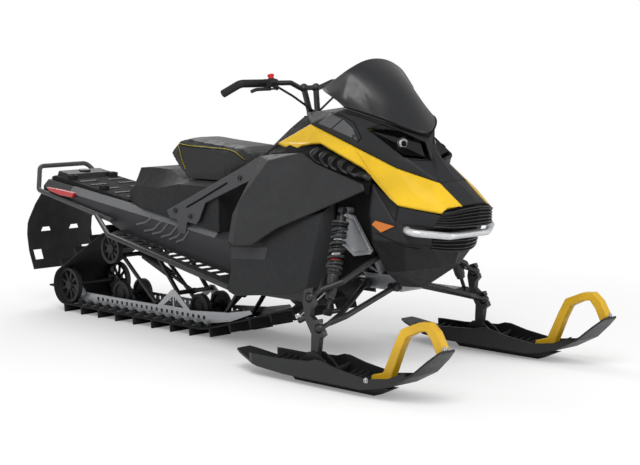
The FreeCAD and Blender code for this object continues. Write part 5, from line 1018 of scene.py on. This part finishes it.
def make_castings():
    front = [Vector((x, casting_y, z)) for x, z in casting_outline]
    middle = sum(front, Vector()) / len(front)
    rear = [place + Vector((0, casting_thickness, 0)) for place in front]
    rim = [middle.lerp(place, casting_rim) for place in front]
    sunk = [middle.lerp(place, casting_floor) + Vector((0, casting_depth, 0)) for place in front]
    plates = both_sides([skinned([rear, front, rim, sunk])])
    outward = Vector((0, -1, 0))
    seats = [middle.lerp(front[corner], casting_bolt_ring) + outward * 0.0005
             for corner in casting_bolt_corners]
    bolts = both_sides([bolt_shape(place, outward, casting_bolt_radius) for place in seats])
    mesh_piece("shock_castings", plates, "cast", bevel=0.0015)
    mesh_piece("casting_bolts", bolts, "steel")


make_castings()


# Tunnel: a pale strip along its bevelled edge, painted highlight where the bevel turns up, and the pressed
# slashes on its side, pale as painted highlight
tunnel_rear = Vector((-1.425, 0, 0.672))
tunnel_knee = Vector((-0.05, 0, 0.503))
tunnel_half, tunnel_bevel = 0.205, 0.03
strip_ends, strip_inner, strip_lift = (-1.2, -0.06), 0.1605, 0.0012
slash_pixels = (
    ((137, 224.5), (146, 222.5), (152, 217.5)), ((145, 231), (154, 229.5), (163, 220)),
    ((153, 234), (162, 232), (168, 224)), ((162, 237), (171, 234.5), (178, 225.5)),
    ((170, 239.5), (178, 236.5), (184, 228.5)), ((177, 242), (184, 239.5), (189, 231)),
)


def make_tunnel_highlights():
    slope = (tunnel_knee.z - tunnel_rear.z) / (tunnel_knee.x - tunnel_rear.x)
    lift = Vector((0, 0, strip_lift))
    tilted = Vector((0, -1, 1)).normalized() * strip_lift
    rows = []
    for x in strip_ends:
        z = tunnel_rear.z + slope * (x - tunnel_rear.x)
        inner, edge = Vector((x, -strip_inner, z)), Vector((x, -(tunnel_half - tunnel_bevel + 0.001), z))
        low = Vector((x, -tunnel_half + 0.0005, z - tunnel_bevel + 0.0005))
        rows.append([inner + lift, edge + lift, low + tilted])
    # The strip is pale grey: painted highlight on the upturned bevel.
    thick_piece("tunnel_highlight_strips", both_sides([sheet(rows)]), "satin_grey", 0.0016)
    side = Skin("tunnel")
    slashes = [side.line(pixels, 3.0, 0.0002) for pixels in slash_pixels]
    # The slashes are pale grey: painted highlight on the raised ribs.
    curve_piece("tunnel_slashes_painted_highlight", both_lines(slashes), 0.0062, "satin_grey")


make_tunnel_highlights()


# Running gear: inner drive lugs and steel clips along the track's lower run
belt_inner = 0.044
lug_pitch = 0.073
track_low_start, track_low_end = -1.225, -0.215
# Each: distance from the middle, length, width, height
lug_places = ((0.15, 0.034, 0.03, 0.021), (0.08, 0.034, 0.026, 0.021))
clip_place = (0.158, 0.015, 0.03, 0.006)
peg_taper = 0.55


def peg_shape(x, side, y, length, width, height):
    """A tapered peg on the belt's inner face."""
    return skinned([[Vector((x + length * u / 2, y * side + width * v / 2, z)) for u, v in
                     ((-size, -size), (size, -size), (size, size), (-size, size))]
                    for z, size in ((belt_inner, 1.0), (belt_inner + height, peg_taper))])


def make_track_details():
    lugs, clips = [], []
    for index in range(int((track_low_end - track_low_start) / lug_pitch) + 1):
        x = track_low_start + lug_pitch * index
        for side in (-1, 1):
            lugs += [peg_shape(x + lug_pitch / 2, side, *place) for place in lug_places]
            clips.append(peg_shape(x, side, *clip_place))
    mesh_piece("drive_lugs", lugs, "rubber", bevel=0.001)
    mesh_piece("track_clips", clips, "steel_grey")


make_track_details()


# Snow flap: moulded ridges round its slots and windows
flap_cross_heights = (0.44, 0.33)
flap_side_y = 0.165


def make_flap_ribs():
    flap = Skin("snow_flap")

    def ridge(spots, across):
        hits = [flap.hit(Vector((-2.0, y, z)), Vector((1, 0, 0))) for y, z in spots]
        return strip([hit[0] for hit in hits if hit], across, Vector((-0.004, 0, 0)))

    ribs = [ridge([(y / 100, z) for y in range(-16, 17, 2)], Vector((0, 0, 0.006)))
            for z in flap_cross_heights]
    ribs += [ridge([(y, z / 100) for z in range(34, 60, 2)], Vector((0, 0.006, 0)))
             for y in (-flap_side_y, flap_side_y)]
    mesh_piece("flap_ribs", ribs, "flap", bevel=0.001)


make_flap_ribs()


# Skis: cross ribs on each sole, and the screws of the bright loops
ski_rib_x = [0.64 + 0.036 * index for index in range(6)] + [0.985 + 0.036 * index for index in range(7)]
ski_rib_profile = ((-0.574, 0.012), (-0.545, 0.004), (-0.495, 0.0), (-0.445, 0.004), (-0.416, 0.012))
ski_middle_y, ski_rib_ceiling = -0.47, 0.08
ski_screw_pixels = ((366.0, 380.5), (444.5, 349.5))


def make_ski_details():
    sole = Skin("ski_right")
    ribs = []
    for x in ski_rib_x:
        found = sole.hit(Vector((x, ski_middle_y, 0.6)), Vector((0, 0, -1)))
        if found and found[0].z < ski_rib_ceiling:
            path = [Vector((x, y, found[0].z + rise)) for y, rise in ski_rib_profile]
            ribs.append(strip(path, Vector((0.003, 0, 0)), Vector((0, 0, 0.014))))
    cover = Skin("ski_right", "ski_loop_right")
    screws = screws_on(cover, ski_screw_pixels, 0.0085)
    for body, left in (("ski_right", False), ("ski_left", True)):
        for title, shapes, material, slot in (("ribs", ribs, "ski", "ski_plastic"),
                                              ("screws", screws, "steel", "bright_steel")):
            own = both_sides(shapes)[len(shapes):] if left else shapes
            mesh_piece(f"{body}_{title}", own, material, body)


make_ski_details()


# Rear frame: the long slot of each brace, drawn as a near-black strip of painted shade, the screws of each
# brace, and the tail lamps' wedges
brace_slot_pixels = ((187, 207), (200, 199.5), (214, 191), (227, 183))
brace_screw_pixels = ((175.5, 210.5), (190.5, 216.5), (240, 178))
tail_lamp_outline = ((-1.372, 0.637), (-1.255, 0.632), (-1.128, 0.621), (-1.146, 0.596), (-1.251, 0.602),
                     (-1.345, 0.62))
tail_lamp_faces_y = (-0.227, -0.206)


def make_frame_details():
    brace = Skin("frame_braces")
    # The slot is a near-black strip over the brace: painted shade where it opens into shadow.
    slot_shade_line = brace.line(brace_slot_pixels, 4.0, 0.0)
    curve_piece("brace_slot_shades", both_lines([slot_shade_line]), 0.0045, "black_deep")
    screws = screws_on(brace, brace_screw_pixels, 0.011)
    mesh_piece("brace_screws", both_sides(screws), "steel_black")
    wedge = skinned([[Vector((x, y, z)) for x, z in tail_lamp_outline] for y in tail_lamp_faces_y])
    lenses = mesh_piece("tail_lamp_lenses", both_sides([wedge]), "red", bevel=0.004)
    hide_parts("tail_lamps")


make_frame_details()


# Cargo deck: the raised rear cover with its cap, and cross ribs
cover_rear, cover_front, cover_half, cover_draft = -1.408, -1.29, 0.138, 0.01
cover_front_drop, cover_height = 0.014, 0.026
cap_x, cap_rise, cap_axis = -1.35, 0.02, (0.08, 0, 1)
cap_rings = ((0.03, -0.004), (0.03, 0.006), (0.026, 0.008), (0.02, 0.006), (0.01, 0.006))
deck_rib_x = (-1.2, -1.11, -1.01, -0.91, -0.81, -0.71)
deck_rib_ends = ((-0.135, -0.035), (0.035, 0.135))
under_box_z = 0.663022


def make_deck_details():
    deck = Skin("cargo_deck")

    def top(x):
        """The deck's height, or that of the foremost rib, which lies inside the storage box."""
        found = deck.hit(Vector((x, -0.05, 1.2)), Vector((0, 0, -1)))
        return found[0].z if found else under_box_z

    rear_top = top(-1.4)
    rings = []
    for z, inset in ((top(-1.3) - 0.004, 0.0), (rear_top + cover_height, cover_draft)):
        drop = cover_front_drop if inset else 0.0
        rear, front, half = cover_rear + inset, cover_front - inset, cover_half - inset
        rings.append([Vector((rear, -half, z)), Vector((front, -half, z - drop)),
                      Vector((front, half, z - drop)), Vector((rear, half, z))])
    mesh_piece("deck_cover", [skinned(rings)], "black_smooth", bevel=0.004)
    cap = turned_shape(Vector((cap_x, 0.0, rear_top + cap_rise)), cap_axis, cap_rings)
    mesh_piece("deck_cap", [cap], "black_gloss")
    ribs = [strip([Vector((x, y, top(x) - 0.001)) for y in ends], Vector((0.012, 0, -0.0016)),
                  Vector((0, 0, 0.006)))
            for x in deck_rib_x for ends in deck_rib_ends]
    mesh_piece("deck_cross_ribs", ribs, "black_smooth", bevel=0.0015)


make_deck_details()


# Controls: the switch blocks, the lever blades and the red stop switch
switch_base = Vector((0.405, -0.262, 1.176))
stop_switch_rings = ((0.0115, 0.0), (0.0115, 0.01), (0.0145, 0.011), (0.0145, 0.017), (0.011, 0.02),
                     (0.004, 0.021))
lever_pixels = ((257.5, 89.3), (270.5, 88.9))


def make_bar_details():
    blocks = both_sides([ring_shape(switch_base, (0, 1, 0), 0.0185, 0.034)])
    mesh_piece("switch_body", blocks, "black_smooth", "steering")
    controls = Skin("controls")
    outer, inner = [controls.pixel(*pixel)[0] for pixel in lever_pixels]
    tip = outer + (outer - inner) * 0.45
    blade = [tip + Vector((-0.004, 0, -0.01)), tip.lerp(outer, 0.5) + Vector((0, 0, -0.003)), outer, inner]
    curve_piece("lever_blades", both_lines([blade]), 0.0075, "black_smooth", "steering")
    cap = turned_shape(switch_base + Vector((-0.002, 0, 0.016)), (-0.25, 0, 1), stop_switch_rings)
    mesh_piece("stop_switch", [cap], "red_plastic", "steering")


make_bar_details()


# Studio: pale floor, soft light and a camera at the photograph's angle
def make_lights():
    for name, spot, size, power in (
        ("key", (3.4, -3.2, 4.8), 3.0, 195),
        ("fill", (5.5, 2.5, 2.5), 3.0, 75),
        ("back", (-4.0, 1.5, 4.0), 3.0, 95),
        ("side", (-2.5, -5.5, 2.5), 2.5, 40),
    ):
        data = bpy.data.lights.new(name, "AREA")
        data.size = size
        data.energy = power
        lamp = bpy.data.objects.new(name, data)
        lamp.location = spot
        lamp.rotation_euler = (Vector((0, 0, 0.5)) - Vector(spot)).to_track_quat("-Z", "Y").to_euler()
        bpy.context.scene.collection.objects.link(lamp)


def make_world():
    """White where the camera sees it, also through glass, and dimmer on the object."""
    bpy.context.scene.view_settings.view_transform = "Standard"
    bpy.context.scene.world = bpy.data.worlds.new("studio")
    tree = Tree(bpy.context.scene.world, "Background")
    path = tree.add("ShaderNodeLightPath").outputs
    seen = tree.math("MAXIMUM", path["Is Camera Ray"], path["Is Transmission Ray"])
    level = tree.add("ShaderNodeMapRange", Value=seen, To_Min=0.5, To_Max=1.0)
    tree.set(Color=(1, 1, 1, 1), Strength=level.outputs["Result"])


def make_floor():
    """A pale floor that keeps the object's shadow and turns plain white further out."""
    bpy.ops.mesh.primitive_plane_add(size=80)
    floor = bpy.context.object
    floor.name = "floor"
    pale = new_tree("pale_floor")
    pale.set(Base_Color=(0.95, 0.95, 0.95, 1), Roughness=0.9, Specular_IOR_Level=0.0)
    spread = pale.add("ShaderNodeVectorMath", V0=pale.place())
    spread.operation = "LENGTH"
    far = pale.add("ShaderNodeMapRange", Value=spread.outputs["Value"], From_Min=1.2, From_Max=2.8,
                   To_Min=0.2).outputs["Result"]
    camera_ray = pale.add("ShaderNodeLightPath").outputs["Is Camera Ray"]
    glow = pale.add("ShaderNodeEmission", Color=(1, 1, 1, 1), Strength=1.0)
    blend = pale.add("ShaderNodeMixShader", V0=pale.math("MULTIPLY", far, camera_ray),
                     V1=pale.shader.outputs["BSDF"], V2=glow.outputs["Emission"])
    pale.feed(pale.nodes["Material Output"].inputs["Surface"], blend.outputs["Shader"])
    floor.data.materials.append(pale.owner)


def make_camera():
    data = bpy.data.cameras.new("camera")
    camera = bpy.data.objects.new("camera", data)
    bpy.context.scene.collection.objects.link(camera)
    camera.matrix_world = Matrix.Translation(camera_place) @ camera_turn.to_4x4()
    data.sensor_width = 36
    data.sensor_fit = "HORIZONTAL"
    data.lens = focal_pixels / photo_width * data.sensor_width
    bpy.context.scene.camera = camera


make_world()
make_floor()
make_lights()
make_camera()
